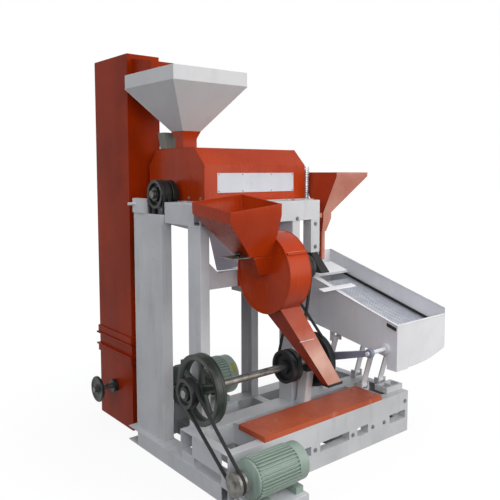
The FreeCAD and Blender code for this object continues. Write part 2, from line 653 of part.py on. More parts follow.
flare_top = f"({hood_top} + neck_height + flare_height)"
outlet = around("neck_x", "neck_y", "outlet_size", "outlet_size")
neck = around("neck_x", "neck_y", "neck_length", "neck_width")
piece("roller_hood", fuse(
    hood_sheet,
    shell(hood_top, f"{hood_top} + neck_height", neck, neck, "sheet_wall"),
    shell(f"{hood_top} + neck_height", flare_top, neck, outlet, "sheet_wall")))
rim_left = "(hood_left - rim_overhang)"
rim_front = "(neck_y - outlet_size / 2 - 200)"
piece("feed_hopper", shell(
    flare_top, "rim_bottom", outlet,
    (rim_left, f"{rim_left} + rim_length", rim_front, f"{rim_front} + rim_width"),
    "sheet_wall", "rim_height"))

dust = ("dust_left", "(dust_left + dust_size)", "dust_front", "(dust_front + dust_size)")
dust_end = ("(dust_left - dust_top_growth)",
            "(dust_left + dust_size + dust_top_growth)", "dust_front",
            "(dust_front + dust_size)")
piece("dust_spout", shell(hood_top, f"{hood_top} + dust_height", dust, dust_end,
                          "sheet_wall"))

# Sheet hopper that collects under the roller, and its spout to the sieve

collector_right = "(collector_left + collector_length)"
collector_bottom = f"({beam_bottom} - collector_drop)"
collector_low = (f"({collector_right} - collector_outlet)", collector_right,
                 "collector_outlet_y",
                 "(collector_outlet_y + collector_outlet_width)")
collector_high = ("collector_left", collector_right, "collector_front",
                  "(collector_front + collector_width)")
collecting_hopper = shell(collector_bottom, beam_bottom, collector_low,
                          collector_high, "sheet_wall")
transfer_right = f"({collector_right} + transfer_length)"
transfer_rear = "(collector_outlet_y + collector_outlet_width)"


def transfer_block(inset, over):
    """The spout's outline: level under the hopper, then down to the sieve."""
    top = f"({collector_bottom} - {inset})"
    low = f"({collector_bottom} - transfer_height + {inset})"
    front = f"(collector_outlet_y + {inset})"
    rear = f"({transfer_rear} - {inset})"
    return fuse(
        box(f"{collector_right} - collector_outlet + {inset}", front, low,
            f"collector_outlet - {inset}", f"{rear} - {front}", f"{top} - {low}"),
        taper("x", collector_right, f"{transfer_right} + {over}",
              (front, rear, low, top),
              (front, rear, f"{low} - transfer_drop", f"{top} - transfer_drop")))


piece("collecting_hopper", fuse(collecting_hopper, cut(
    transfer_block("0", "0"), transfer_block("sheet_wall", "3"),
    box(f"{collector_right} - collector_outlet + sheet_wall",
        "collector_outlet_y + sheet_wall", f"{collector_bottom} - 4",
        "collector_outlet - 2 * sheet_wall", "collector_outlet_width - 2 * sheet_wall",
        "8"))))

# Burr mill: split drum, fixed and turning stones, gate, hopper and chute

mill_right = "(mill_left + mill_width)"


def mill_drum():
    return cut(
        rod("x", "mill_left", "mill_y", "mill_z", "mill_radius", "mill_width"),
        rod("x", "mill_left + mill_wall", "mill_y", "mill_z",
            "mill_radius - mill_wall", "mill_width - 2 * mill_wall"),
        rod("x", f"{mill_right} - mill_wall - 1", "mill_y", "mill_z",
            "mill_shaft_radius + 2", "mill_wall + 2"),
        box("mill_left - 1", "mill_y - inlet_width / 2", "inlet_bottom + mill_wall",
            "mill_wall + 2", "inlet_width", "inlet_height"),
        box("mill_left + mill_wall", "chute_top_front + 12", "mill_z - mill_radius - 1",
            "mill_width - 2 * mill_wall", "chute_top_depth - 24", "mill_radius / 2"))


def drum_slab(low, height):
    return box("mill_left - 5", "mill_y - mill_radius - 5", low, "mill_width + 10",
               "2 * mill_radius + 10", height)


piece("mill_cover", cut(mill_drum(), drum_slab("mill_z - mill_radius - 5",
                                                "mill_split_z - mill_z + mill_radius + 5")))
stone_left = f"({mill_right} - mill_wall - stone_thickness)"
piece("fixed_stone", tube("x", stone_left, "mill_y", "mill_z", "stone_radius",
                          "mill_shaft_radius + 16", "stone_thickness"))
turning_left = f"({stone_left} - stone_gap - stone_thickness)"
piece("turning_stone", tube("x", turning_left, "mill_y", "mill_z", "stone_radius",
                            "mill_shaft_radius", "stone_thickness"))
piece("mill_shaft", fuse(
    rod("x", f"{turning_left} - 12", "mill_y", "mill_z", "mill_shaft_radius",
        f"mill_pulley_left + mill_pulley_width + 24 - {turning_left}"),
    v_pulley("mill_pulley_left", "mill_y", "mill_z", "mill_pulley_radius",
             "mill_pulley_width", "mill_shaft_radius - 1", 1)))
piece("mill_bearing", fuse(
    tube("x", "mill_bearing_left", "mill_y", "mill_z", "mill_bearing_radius",
         "mill_shaft_radius + run_clearance", "mill_bearing_length"),
    cut(box("mill_bearing_left + 8", "mill_y", "mid_rail_bottom",
            "mill_bearing_length - 16", "rail_inset - mill_y", "mid_rail_height - 12"),
        rod("x", "mill_bearing_left", "mill_y", "mill_z", "mill_bearing_radius - 4",
            "mill_bearing_length"))))

throat = ("(mill_left - throat_length)", "mill_left",
          "(mill_y - throat_width / 2)", "(mill_y + throat_width / 2)")
slide_bottom = "(gate_z - gate_slot_gap)"
slide_top = "(gate_z + gate_thickness + gate_slot_gap)"
leaning_hopper = shell(
    "-12", "mill_funnel_height",
    ("(-throat_length)", "0", "(-throat_width / 2)", "(throat_width / 2)"),
    ("(mill_rim_shift_x - mill_rim)", "mill_rim_shift_x",
     "(mill_rim_shift_y - mill_rim / 2)", "(mill_rim_shift_y + mill_rim / 2)"),
    "sheet_wall", "mill_rim_height")
leaning_hopper.Placement = FreeCAD.Placement(
    FreeCAD.Vector(), FreeCAD.Rotation(FreeCAD.Vector(0, 1, 0), -SIZES["mill_lean_y"]).multiply(
        FreeCAD.Rotation(FreeCAD.Vector(1, 0, 0), SIZES["mill_lean_x"])))
spot(leaning_hopper, "mill_left - 1", "mill_y", slide_top)
piece("mill_hopper", cut(leaning_hopper, box(
    "mill_left - 2 * throat_length", "mill_y - throat_width", f"{slide_top} - 60",
    "3 * throat_length", "2 * throat_width", "60")))
inlet_low = ("(mill_left - throat_length / 2)", "mill_left",
             "(mill_y - inlet_width / 2 - sheet_wall)",
             "(mill_y + inlet_width / 2 + sheet_wall)")
guide_width = "(throat_width / 2 - gate_width / 2 - gate_slot_gap)"
piece("mill_casing", fuse(
    cut(mill_drum(), drum_slab("mill_split_z", "mill_radius")),
    cut(box("mill_left + 10", "-saddle_depth", "mid_rail_bottom", "mill_width - 20",
            "saddle_depth + rail_inset", "mid_rail_height"),
        rod("x", "mill_left", "mill_y", "mill_z", "mill_radius - mill_wall / 2",
            "mill_width")),
    cut(taper("z", "inlet_bottom", slide_bottom, inlet_low, throat),
        taper("z", "inlet_bottom + sheet_wall", f"{slide_bottom} + 1",
              ("(mill_left - throat_length / 2 + sheet_wall)", "(mill_left + 2)",
               "(mill_y - inlet_width / 2)", "(mill_y + inlet_width / 2)"),
              ("(mill_left - throat_length + sheet_wall)", "(mill_left + 2)",
               "(mill_y - throat_width / 2 + sheet_wall)",
               "(mill_y + throat_width / 2 - sheet_wall)"))),
    box("mill_left - throat_length", "mill_y - throat_width / 2",
        f"{slide_bottom} - 6", "throat_length", guide_width,
        f"{slide_top} - {slide_bottom} + 6"),
    box("mill_left - throat_length", f"mill_y + throat_width / 2 - {guide_width}",
        f"{slide_bottom} - 6", "throat_length", guide_width,
        f"{slide_top} - {slide_bottom} + 6")))
piece("gate_plate", box("mill_left - gate_length - gate_end_gap",
                        "mill_y - gate_width / 2", "gate_z", "gate_length",
                        "gate_width", "gate_thickness"))
piece("gate_knob", rod("z", "mill_left - gate_length - gate_end_gap + knob_inset",
                       "mill_y - gate_width / 4", "gate_z + gate_thickness",
                       "knob_radius", "knob_height"))

chute_rear = "(chute_top_front + chute_top_depth)"
mouth_right = "(chute_mouth_left + chute_mouth_length)"
mouth_rear = "(chute_top_front + chute_mouth_depth)"
piece("mill_chute", cut(
    shell("chute_bottom", "chute_top",
          ("chute_mouth_left", mouth_right, "chute_top_front", mouth_rear),
          ("mill_left", mill_right, "chute_top_front", chute_rear), "sheet_wall"),
    rod("x", "mill_left - 5", "mill_y", "mill_z", "mill_radius", "mill_width + 10")))

# Countershaft along the front, its bearings, pulleys and eccentric

counter_length = "(counter_left + counter_right)"
counter_bore = "(counter_radius + run_clearance)"
piece("countershaft", fuse(
    rod("x", "-counter_left", "counter_y", "counter_z", "counter_radius",
        counter_length),
    rod("x", "eccentric_left", "counter_y", "counter_z + eccentric_offset",
        "eccentric_radius", "eccentric_width")))
pedestal_x = "(pedestal_rail + 2)"
pedestal_front = "(plank_width - base_front + pedestal_gap)"
post_bearing = fuse(
    tube("x", "2", "counter_y", "counter_z", "pillow_radius", counter_bore,
         "pillow_length"),
    cut(box("2", "counter_y", "counter_z - 30", "pillow_length", "-counter_y", "60"),
        rod("x", "1", "counter_y", "counter_z", "pillow_radius - 4",
            "pillow_length + 2")),
    box("2", "-foot_plate", "counter_z - pillow_height / 2", "pillow_length",
        "foot_plate", "pillow_height"))
pedestal_bearing = fuse(
    tube("x", pedestal_x, "counter_y", "counter_z", "pillow_radius", counter_bore,
         "pillow_length"),
    cut(taper("z", f"{base_top} + foot_plate", "counter_z",
              (pedestal_x, f"({pedestal_x} + pillow_length)", pedestal_front,
               "(counter_y + 60)"),
              (pedestal_x, f"({pedestal_x} + pillow_length)", "(counter_y - 30)",
               "(counter_y + 30)")),
        rod("x", f"{pedestal_x} - 1", "counter_y", "counter_z", "pillow_radius - 4",
            "pillow_length + 2")),
    box(pedestal_x, pedestal_front, base_top, "pillow_length",
        f"-{pedestal_front} - 2", "foot_plate"))
piece("countershaft_bearings", group(post_bearing, pedestal_bearing))


def turned(degrees, x, y, z, inner, outer, thickness, length):
    """A flat bar that points away from a shaft along X, turned about the shaft."""
    item = doc.addObject("Part::Box", "arm")
    item.Placement = FreeCAD.Placement(
        FreeCAD.Vector(), FreeCAD.Rotation(FreeCAD.Vector(1, 0, 0), degrees))
    bind(item, Length=length, Width=f"{outer} - {inner}", Height=thickness)
    side = f"{thickness} / 2"
    return spot(item, x,
                f"{y} + {inner} * cos({degrees}) + {side} * sin({degrees})",
                f"{z} + {inner} * sin({degrees}) - {side} * cos({degrees})")


spokes = [turned(72 * index + 18, "-flywheel_left + flywheel_width / 4", "counter_y",
                 "counter_z", "hub_radius - 3", "flywheel_radius - flywheel_rim + 2",
                 "spoke_width", "flywheel_width / 2") for index in range(5)]
piece("flywheel_pulley", fuse(
    tube("x", "-flywheel_left", "counter_y", "counter_z", "flywheel_radius",
         "flywheel_radius - flywheel_rim", "flywheel_width"),
    tube("x", "-flywheel_left", "counter_y", "counter_z", "hub_radius",
         "counter_radius", "flywheel_width"), *spokes))
piece("input_pulley", v_pulley("-input_pulley_left", "counter_y", "counter_z",
                               "input_pulley_radius", "input_pulley_width",
                               "counter_radius", 1))
piece("mill_drive_pulley", v_pulley(
    "mill_pulley_left + mill_pulley_width / 2 - black_pulley_width / 2", "counter_y",
    "counter_z", "black_pulley_radius", "black_pulley_width", "counter_radius", 1))
piece("fan_drive_pulley", v_pulley("ring_pulley_left", "counter_y", "counter_z",
                                   "ring_pulley_radius", "ring_pulley_width",
                                   "counter_radius", 1))
mill_belt = belt(
    "mill_pulley_left + mill_pulley_width / 2",
    ("counter_y", "counter_z", "black_pulley_radius"),
    ("mill_y", "mill_z", "mill_pulley_radius"))

# Motors: a housing with closed ends, a core on its shaft and a belt pulley


def motor_housing(left, length, y, z, radius, bore):
    return cut(
        rod("x", left, y, z, radius, length),
        rod("x", f"{left} + end_wall", y, z, "0.68 * " + radius,
            f"{length} - 2 * end_wall"),
        rod("x", f"{left} - 1", y, z, bore, "end_wall + 2"))


def rotor(left, length, y, z, radius, tip, pulley):
    return fuse(
        rod("x", f"{left} + end_wall + 6", y, z, "0.68 * " + radius + " - air_gap",
            f"{length} - 2 * end_wall - 12"),
        rod("x", tip, y, z, "motor_shaft_radius", f"{left} + end_wall + 10 - ({tip})"),
        pulley)


motor_bore = "(motor_shaft_radius + run_clearance)"
bed_top = "(motor_z - motor_radius - bed_drop)"
main_motor_args = ("motor_left", "motor_length", "shaft_y", "motor_z", "motor_radius")
piece("main_motor_housing", fuse(
    motor_housing(*main_motor_args, motor_bore),
    box("motor_left + 60", "shaft_y - 80", bed_top, "motor_foot", "160",
        "bed_drop + 18"),
    box("motor_left + motor_length - 60 - motor_foot", "shaft_y - 80", bed_top,
        "motor_foot", "160", "bed_drop + 18"),
    box("motor_left + motor_length / 2 - 45", "shaft_y + motor_radius - 12",
        "motor_z", "90", "60", "80")))
piece("main_motor_rotor", rotor(
    *main_motor_args, "main_pulley_left - 2",
    v_pulley("main_pulley_left", "shaft_y", "motor_z", "motor_pulley_radius",
             "main_pulley_width", "motor_shaft_radius - 1", 2)))
motor_bed = channel("bed_left", "shaft_y - bed_width / 2", "lower_rail_height",
                    "bed_length", "bed_width", f"{bed_top} - lower_rail_height", "x",
                    "-z", "bed_wall")

front_args = ("front_motor_left", "front_motor_length", "front_motor_y",
              "front_motor_z", "front_motor_radius")
stand_top = "(front_motor_z - front_motor_radius - bed_drop)"
piece("front_motor_housing", fuse(
    motor_housing("-front_motor_left", *front_args[1:], motor_bore),
    box("-front_motor_left + 40", "front_motor_y - 70", stand_top, "motor_foot",
        "140", "bed_drop + 18"),
    box("-front_motor_left + front_motor_length - 40 - motor_foot",
        "front_motor_y - 70", stand_top, "motor_foot", "140", "bed_drop + 18")))
piece("front_motor_rotor", rotor(
    "(-front_motor_left)", *front_args[1:], "-input_pulley_left - 4",
    v_pulley("-input_pulley_left", "front_motor_y", "front_motor_z",
             "front_pulley_radius", "input_pulley_width", "motor_shaft_radius - 1",
             1)))
piece("motor_beds", group(motor_bed, channel(
    "-front_motor_left + 20", "front_motor_y - stand_width / 2", "0",
    "stand_length", "stand_width", stand_top, "x", "-z", "bed_wall")))
front_belt = belt("-input_pulley_left + input_pulley_width / 2",
                  ("front_motor_y", "front_motor_z", "front_pulley_radius"),
                  ("counter_y", "counter_z", "input_pulley_radius"))

# Husk fan behind the front right post

fan_middle = "(ring_pulley_left + ring_pulley_width / 2)"


def fan_space(inset, over):
    return fuse(
        rod("x", f"fan_left + {inset}", "fan_y", "fan_z", f"fan_radius - {inset}",
            f"fan_length - 2 * {inset}"),
        box(f"fan_left + {inset}", "fan_y", f"fan_z - fan_radius + {inset}",
            f"fan_length - 2 * {inset}", f"fan_outlet_reach + {over}",
            f"fan_outlet_height - 2 * {inset}"))


piece("fan_casing", fuse(
    cut(fan_space("0", "0"), fan_space("sheet_wall", "2"),
        rod("x", "fan_left - 1", "fan_y", "fan_z", "fan_inlet_radius",
            "sheet_wall + 2"),
        rod("x", "fan_left + fan_length - sheet_wall - 1", "fan_y", "fan_z",
            "fan_shaft_radius + 2", "sheet_wall + 2")),
    tube("x", "fan_left + fan_length", "fan_y", "fan_z", "fan_shaft_radius + 14",
         "fan_shaft_radius + run_clearance", "16"),
    box("post_pair_pitch + 8", "post_web", "fan_z - 30", "fan_bracket_length",
        "fan_y - fan_radius - post_web + 2", "60")))
blades = [turned(60 * index, "fan_left + 16", "fan_y", "fan_z",
                 "fan_shaft_radius - 1", "impeller_radius", "4", "fan_length - 36")
          for index in range(6)]
fan_shaft_start = "(fan_left + 16)"
piece("fan_impeller", fuse(
    rod("x", fan_shaft_start, "fan_y", "fan_z", "fan_shaft_radius",
        f"ring_pulley_left + ring_pulley_width + 6 - {fan_shaft_start}"),
    v_pulley("ring_pulley_left", "fan_y", "fan_z", "fan_pulley_radius",
             "ring_pulley_width", "fan_shaft_radius - 1", 1), *blades))
fan_belt = belt(fan_middle, ("counter_y", "counter_z", "ring_pulley_radius"),
                ("fan_y", "fan_z", "fan_pulley_radius"))
piece("countershaft_belts", group(front_belt, mill_belt, fan_belt))

# Bucket elevator behind the frame

leg_right = "(leg_left + leg_length)"
leg_rear = "(leg_front + leg_width)"
leg_middle = "(leg_front + leg_width / 2)"
ribs = []
for index in range(2):
    ribs.append(box("leg_left - flange_rib", "leg_front - flange_rib",
                    f"boot_height + {index} * rib_pitch", "leg_length + 2 * flange_rib",
                    "leg_width + 2 * flange_rib", "rib_thickness"))
shaft_holes = [
    rod("x", "leg_left - 1", leg_middle, "boot_shaft_z", "elevator_shaft_radius + 2",
        "leg_length + 2"),
    rod("x", "leg_left + sheet_wall + 1", leg_middle, "head_shaft_z",
        "elevator_shaft_radius + 2", "leg_length")]
discharge_left = "(leg_left + leg_length / 2 - discharge_width / 2)"
leg_casing = cut(
    fuse(box("leg_left", "leg_front", "0", "leg_length", "leg_width",
             "elevator_height"), *ribs),
    box("leg_left + sheet_wall", "leg_front + sheet_wall", "sheet_wall",
        "leg_length - 2 * sheet_wall", "leg_width - 2 * sheet_wall",
        "elevator_height - 2 * sheet_wall"),
    box(f"{discharge_left} + sheet_wall", "leg_front - 1",
        "discharge_top - discharge_height + sheet_wall",
        "discharge_width - 2 * sheet_wall", "sheet_wall + 2",
        "discharge_height - 2 * sheet_wall"),
    box("inlet_left + sheet_wall", f"{leg_rear} - sheet_wall - 1",
        "boot_inlet_z + sheet_wall", "boot_inlet_width - 2 * sheet_wall",
        "sheet_wall + 2", "boot_inlet_height - 2 * sheet_wall"),
    *shaft_holes)
piece("elevator_bearings", group(*[
    tube("x", x, leg_middle, z, "boss_radius", "elevator_shaft_radius + run_clearance",
         "boss_length")
    for x, z in (("leg_left - boss_length", "boot_shaft_z"), (leg_right, "boot_shaft_z"),
                 ("leg_left + sheet_wall", "head_shaft_z"),
                 (leg_right, "head_shaft_z"))]))
drop = "(discharge_top - spout_tip_top)"


def discharge(inset, over):
    left = f"{discharge_left} + {inset}"
    right = f"{discharge_left} + discharge_width - {inset}"
    top = f"discharge_top - {inset}"
    low = f"discharge_top - discharge_height + {inset}"
    return taper("y", f"leg_front - discharge_reach - {over}", f"leg_front + {over}",
                 (left, right, f"{low} - {drop}", f"{top} - {drop}"),
                 (left, right, low, top))


discharge_spout = cut(
    discharge("0", "0"), discharge("sheet_wall", "-sheet_wall"),
    box(f"{discharge_left} + sheet_wall", "leg_front - 2 * sheet_wall",
        "discharge_top - discharge_height + sheet_wall",
        "discharge_width - 2 * sheet_wall", "2 * sheet_wall + 1",
        "discharge_height - 2 * sheet_wall"),
    box(f"{discharge_left} + sheet_wall", "leg_front - discharge_reach + sheet_wall",
        "spout_tip_top - discharge_height - 2", "discharge_width - 2 * sheet_wall",
        "discharge_reach * 2 / 5", "discharge_height / 2"))
inlet_right = "(inlet_left + boot_inlet_width)"
boot_inlet_top = "(boot_inlet_z + boot_inlet_height)"
boot_inlet = cut(
    taper("z", "boot_inlet_z", boot_inlet_top,
          ("inlet_left", inlet_right, leg_rear, f"({leg_rear} + boot_inlet_reach / 3)"),
          ("inlet_left", inlet_right, leg_rear, f"({leg_rear} + boot_inlet_reach)")),
    taper("z", "boot_inlet_z + sheet_wall", f"{boot_inlet_top} + 1",
          ("inlet_left + sheet_wall", f"({inlet_right} - sheet_wall)",
           f"({leg_rear} - 1)", f"({leg_rear} + boot_inlet_reach / 3 - sheet_wall)"),
          ("inlet_left + sheet_wall", f"({inlet_right} - sheet_wall)",
           f"({leg_rear} - 1)", f"({leg_rear} + boot_inlet_reach - sheet_wall)")))
piece("elevator_casing", fuse(leg_casing, discharge_spout, boot_inlet))
belt_pulley_left = "(leg_left + leg_length / 2 - belt_pulley_length / 2 + 8)"
piece("head_shaft", fuse(
    rod("x", "leg_left + sheet_wall + 2", leg_middle, "head_shaft_z",
        "elevator_shaft_radius",
        "leg_length + boss_length + gear_box_size / 2 - sheet_wall - 2"),
    rod("x", belt_pulley_left, leg_middle, "head_shaft_z", "belt_pulley_radius",
        "belt_pulley_length")))
piece("boot_shaft", fuse(
    rod("x", "leg_left - wheel_standoff - 24", leg_middle, "boot_shaft_z",
        "elevator_shaft_radius", "leg_length + boss_length + wheel_standoff + 32"),
    rod("x", belt_pulley_left, leg_middle, "boot_shaft_z", "belt_pulley_radius",
        "belt_pulley_length")))
piece("boot_handwheel", tube("x", "leg_left - wheel_standoff - wheel_thickness / 2",
                             leg_middle, "boot_shaft_z", "wheel_radius",
                             "elevator_shaft_radius", "wheel_thickness"))


def long_loop(x, width, grow):
    """The filled outline of the bucket belt around its two equal pulleys."""
    radius = f"(belt_pulley_radius + {grow})"
    return fuse(
        rod("x", x, leg_middle, "boot_shaft_z", radius, width),
        rod("x", x, leg_middle, "head_shaft_z", radius, width),
        box(x, f"{leg_middle} - {radius}", "boot_shaft_z", width, f"2 * {radius}",
            "head_shaft_z - boot_shaft_z"))


belt_left = "(leg_left + leg_length / 2 - bucket_belt_width / 2)"
bucket_left = "(leg_left + leg_length / 2 - bucket_width / 2)"
bucket_right = f"({bucket_left} + bucket_width)"
belt_face = "(belt_pulley_radius + belt_gap + bucket_belt_thickness)"
buckets = []
for side in (1, -1):
    face = f"({leg_middle} + {side} * {belt_face})"
    tip = f"({face} + {side} * bucket_projection)"
    toe = f"({face} + {side} * bucket_projection / 3)"
    rise = f"({side} * sheet_wall)"
    wide = (face, tip) if side == 1 else (tip, face)
    slim = (face, toe) if side == 1 else (toe, face)
    first, last = (slim, wide) if side == 1 else (wide, slim)
    for index in range(8):
        low = f"(boot_shaft_z + 120 + {index} * bucket_pitch)"
        outside = taper("z", low, f"{low} + bucket_height",
                        (bucket_left, bucket_right, *first),
                        (bucket_left, bucket_right, *last))
        inside = taper("z", f"{low} + {rise}", f"{low} + bucket_height + {rise}",
                       (f"{bucket_left} + sheet_wall", f"{bucket_right} - sheet_wall",
                        f"{first[0]} + sheet_wall", f"{first[1]} - sheet_wall"),
                       (f"{bucket_left} + sheet_wall", f"{bucket_right} - sheet_wall",
                        f"{last[0]} + sheet_wall", f"{last[1]} - sheet_wall"))
        buckets.append(cut(outside, inside))
piece("bucket_belt", fuse(
    cut(long_loop(belt_left, "bucket_belt_width", "belt_gap + bucket_belt_thickness"),
        long_loop(f"{belt_left} - 1", "bucket_belt_width + 2", "belt_gap")),
    *buckets))

gear_left = f"({leg_right} + boss_length)"
piece("head_gear_motor", fuse(
    cut(box(gear_left, f"{leg_middle} - gear_box_size / 2",
            "head_shaft_z - gear_box_size / 2", "gear_box_size", "gear_box_size",
            "gear_box_size"),
        rod("x", f"{gear_left} - 1", leg_middle, "head_shaft_z",
            "elevator_shaft_radius + 1", "gear_box_size / 2 + 3")),
    rod("x", f"{gear_left} + gear_box_size", leg_middle, "head_shaft_z",
        "gear_motor_radius", "gear_motor_length")))

# Grading hopper on the right beam, with its pipe to the sieve

grading_top_area = ("grading_left", "(grading_left + grading_length)",
                    "grading_front", "(grading_front + grading_width)")
neck_x_low = "grading_neck_left"
neck_x_high = "(grading_neck_left + grading_neck_size)"
grading_neck = (neck_x_low, neck_x_high, "grading_neck_front",
                "(grading_neck_front + grading_neck_size)")
pipe_x = "(grading_neck_left + 22)"
pipe_y = "(grading_neck_front + grading_neck_size / 2)"
pipe_end = around(pipe_x, pipe_y, "2 * pipe_radius", "2 * pipe_radius")
piece("grading_hopper", fuse(
    shell("grading_neck_z", "grading_top", grading_neck, grading_top_area,
          "sheet_wall", "grading_lip"),
    shell("grading_neck_z - 30", "grading_neck_z", grading_neck, grading_neck,
          "sheet_wall"),
    shell("pipe_top", "grading_neck_z - 30", pipe_end, grading_neck, "sheet_wall"),
    tube("z", pipe_x, pipe_y, "pipe_top - pipe_length", "pipe_radius",
         "pipe_radius - pipe_wall", "pipe_length"),
    box("frame_length", "grading_neck_front + 8", f"{beam_bottom} + 4",
        "grading_neck_left - frame_length", "grading_neck_size - 16", "24")))

# Rocking sieve on two pairs of leaning flat springs

sieve_right = "(sieve_left + sieve_width)"
sieve_high_y = "(sieve_low_y + sieve_length)"
floor_slope = "((sieve_high_bottom - sieve_low_bottom) / sieve_length)"


def floor_z(y):
    return f"(sieve_low_bottom + ({y} - sieve_low_y) * {floor_slope})"


def tray(inset, rise):
    """The tray's outline between its low and its high end."""
    left = f"sieve_left + {inset}"
    right = f"{sieve_right} - {inset}"
    return taper("y", f"sieve_low_y + {inset}", f"{sieve_high_y} - {inset}",
                 (left, right, f"sieve_low_bottom + {inset}", f"sieve_low_top + {rise}"),
                 (left, right, f"sieve_high_bottom + {inset}",
                  f"sieve_high_top + {rise}"))


def screen_band(y_low, y_high, lift, thickness, side):
    """A sloping flat strip inside the tray, lift below the tray's top edge."""
    slope = "((sieve_high_top - sieve_low_top) / sieve_length)"
    low = f"(sieve_low_top - {lift} + ({y_low} - sieve_low_y) * {slope})"
    high = f"(sieve_low_top - {lift} + ({y_high} - sieve_low_y) * {slope})"
    return taper("y", y_low, y_high,
                 (f"sieve_left + {side}", f"{sieve_right} - {side}", low,
                  f"{low} + {thickness}"),
                 (f"sieve_left + {side}", f"{sieve_right} - {side}", high,
                  f"{high} + {thickness}"))


leaf_low_z = f"({base_top} + foot_height)"
leaf_high_z = f"({leaf_low_z} + leaf_rise)"
leaves = {
    "front": ("(-front_foot_y)", ("leaf_near_front", "leaf_far")),
    "rear": ("rear_foot_y", ("leaf_near_rear", "leaf_far")),
}
lugs = []
for foot_y, lefts in leaves.values():
    top_y = f"({foot_y} - leaf_lean)"
    for left in lefts:
        for x in (f"{left} - leaf_gap - lug_thickness", f"{left} + leaf_width + leaf_gap"):
            lugs.append(box(x, f"{top_y} - 14", f"{leaf_high_z} - 14", "lug_thickness",
                            "28", f"{floor_z(top_y)} + 1 - {leaf_high_z} + 14"))
        lugs.append(rod("x", f"{left} - leaf_gap - 2", top_y, leaf_high_z,
                        "leaf_pin_radius", "leaf_width + 2 * leaf_gap + 4"))
near_step = taper("y", "sieve_low_y - 1", f"{sieve_high_y} + 1",
                  ("sieve_left - 1", "sieve_left + sieve_wall",
                   "sieve_low_top - near_wall_step", "sieve_low_top + 5"),
                  ("sieve_left - 1", "sieve_left + sieve_wall",
                   "sieve_high_top - near_wall_step", "sieve_high_top + 5"))
end_step = box("sieve_left + sieve_wall", "sieve_low_y - 1",
               "sieve_low_top - near_wall_step", "sieve_width - 2 * sieve_wall",
               "sieve_wall + 2", "near_wall_step + 8")
spout_box = box("sieve_left", "sieve_low_y", "sieve_low_bottom - spout_drop",
                "spout_width", "spout_length", "spout_drop + 12")
spout_hole = box("sieve_left + sieve_wall", "sieve_low_y + sieve_wall",
                 "sieve_low_bottom - spout_drop - 1", "spout_width - 2 * sieve_wall",
                 "spout_length - 2 * sieve_wall", "spout_drop + 30")
piece("sieve_tray", fuse(
    cut(fuse(tray("0", "0"), spout_box), tray("sieve_wall", "4"), spout_hole,
        near_step, end_step),
    *lugs,
    rod("x", "eccentric_left - 6", "rod_pin_y", "rod_pin_z", "rod_pin_radius",
        "sieve_left - eccentric_left + 6"),
    rod("x", "sieve_left - 14", "rod_pin_y", "rod_pin_z", "rod_pin_radius + 14", "14"),
    screen_band(f"({sieve_high_y} - sieve_wall - tray_length)",
                f"({sieve_high_y} - sieve_wall)", "(screen_depth - 30)", "sieve_wall",
                "sieve_wall")))


slots = []
for index in range(12):
    start = f"(sieve_low_y + 50 + {index} * screen_pitch)"
    slots.append(box("sieve_left + 30", start, "sieve_low_top - 70", "sieve_width - 60",
                     "screen_slot", "sieve_high_top - sieve_low_top + 60"))
piece("sieve_screen", cut(
    screen_band("(sieve_low_y + sieve_wall)", f"({sieve_high_y} - sieve_wall)",
                "screen_depth", "screen_thickness", "sieve_wall"), *slots))

def leaf(left, foot_y):
    top_y = f"({foot_y} - leaf_lean)"
    ease = "leaf_pin_radius + 6"
    share = f"(leaf_lean * 8 / leaf_rise)"
    bar = taper("z", f"{leaf_low_z} + 8", f"{leaf_high_z} - 8",
                (left, f"({left} + leaf_width)",
                 f"({foot_y} - {share} - leaf_thickness / 2)",
                 f"({foot_y} - {share} + leaf_thickness / 2)"),
                (left, f"({left} + leaf_width)",
                 f"({top_y} + {share} - leaf_thickness / 2)",
                 f"({top_y} + {share} + leaf_thickness / 2)"))
    return cut(
        fuse(bar, rod("x", left, foot_y, leaf_low_z, ease, "leaf_width"),
             rod("x", left, top_y, leaf_high_z, ease, "leaf_width")),
        rod("x", f"{left} - 1", foot_y, leaf_low_z, "leaf_pin_radius + leaf_pin_gap",
            "leaf_width + 2"),
        rod("x", f"{left} - 1", top_y, leaf_high_z, "leaf_pin_radius + leaf_pin_gap",
            "leaf_width + 2"))


def foot(left, foot_y):
    cheeks = [box(x, f"{foot_y} - 16", base_top, "lug_thickness", "32",
                  "foot_height + 14")
              for x in (f"{left} - leaf_gap - lug_thickness",
                        f"{left} + leaf_width + leaf_gap")]
    return fuse(
        *cheeks,
        box(f"{left} - leaf_gap - lug_thickness", f"{foot_y} - 16", base_top,
            "leaf_width + 2 * leaf_gap + 2 * lug_thickness", "32", "foot_plate"),
        rod("x", f"{left} - leaf_gap - 2", foot_y, leaf_low_z, "leaf_pin_radius",
            "leaf_width + 2 * leaf_gap + 4"))


feet = []
for name, (foot_y, lefts) in leaves.items():
    piece(f"{name}_spring_bars", group(*[leaf(left, foot_y) for left in lefts]))
    feet.extend(foot(left, foot_y) for left in lefts)
piece("base_frame", fuse(*base_frame, *feet))

rod_bore = "(rod_pin_radius + leaf_pin_gap)"
piece("connecting_rod", cut(
    fuse(rod("x", "eccentric_left + 4", "counter_y", "counter_z", "strap_radius",
             "rod_width"),
         taper("y", "rod_pin_y", "counter_y",
               ("eccentric_left + 4", "(eccentric_left + 4 + rod_width)",
                "(rod_pin_z - 14)", "(rod_pin_z + 14)"),
               ("eccentric_left + 4", "(eccentric_left + 4 + rod_width)",
                "(counter_z - rod_height / 2)", "(counter_z + rod_height / 2)")),
         rod("x", "eccentric_left + 4", "rod_pin_y", "rod_pin_z",
             "rod_pin_radius + 12", "rod_width")),
    rod("x", "eccentric_left", "counter_y", "counter_z", "strap_bore", "rod_width + 8"),
    rod("x", "eccentric_left", "rod_pin_y", "rod_pin_z", rod_bore, "rod_width + 8")))

# Socket box on the base's right end, with two open wells

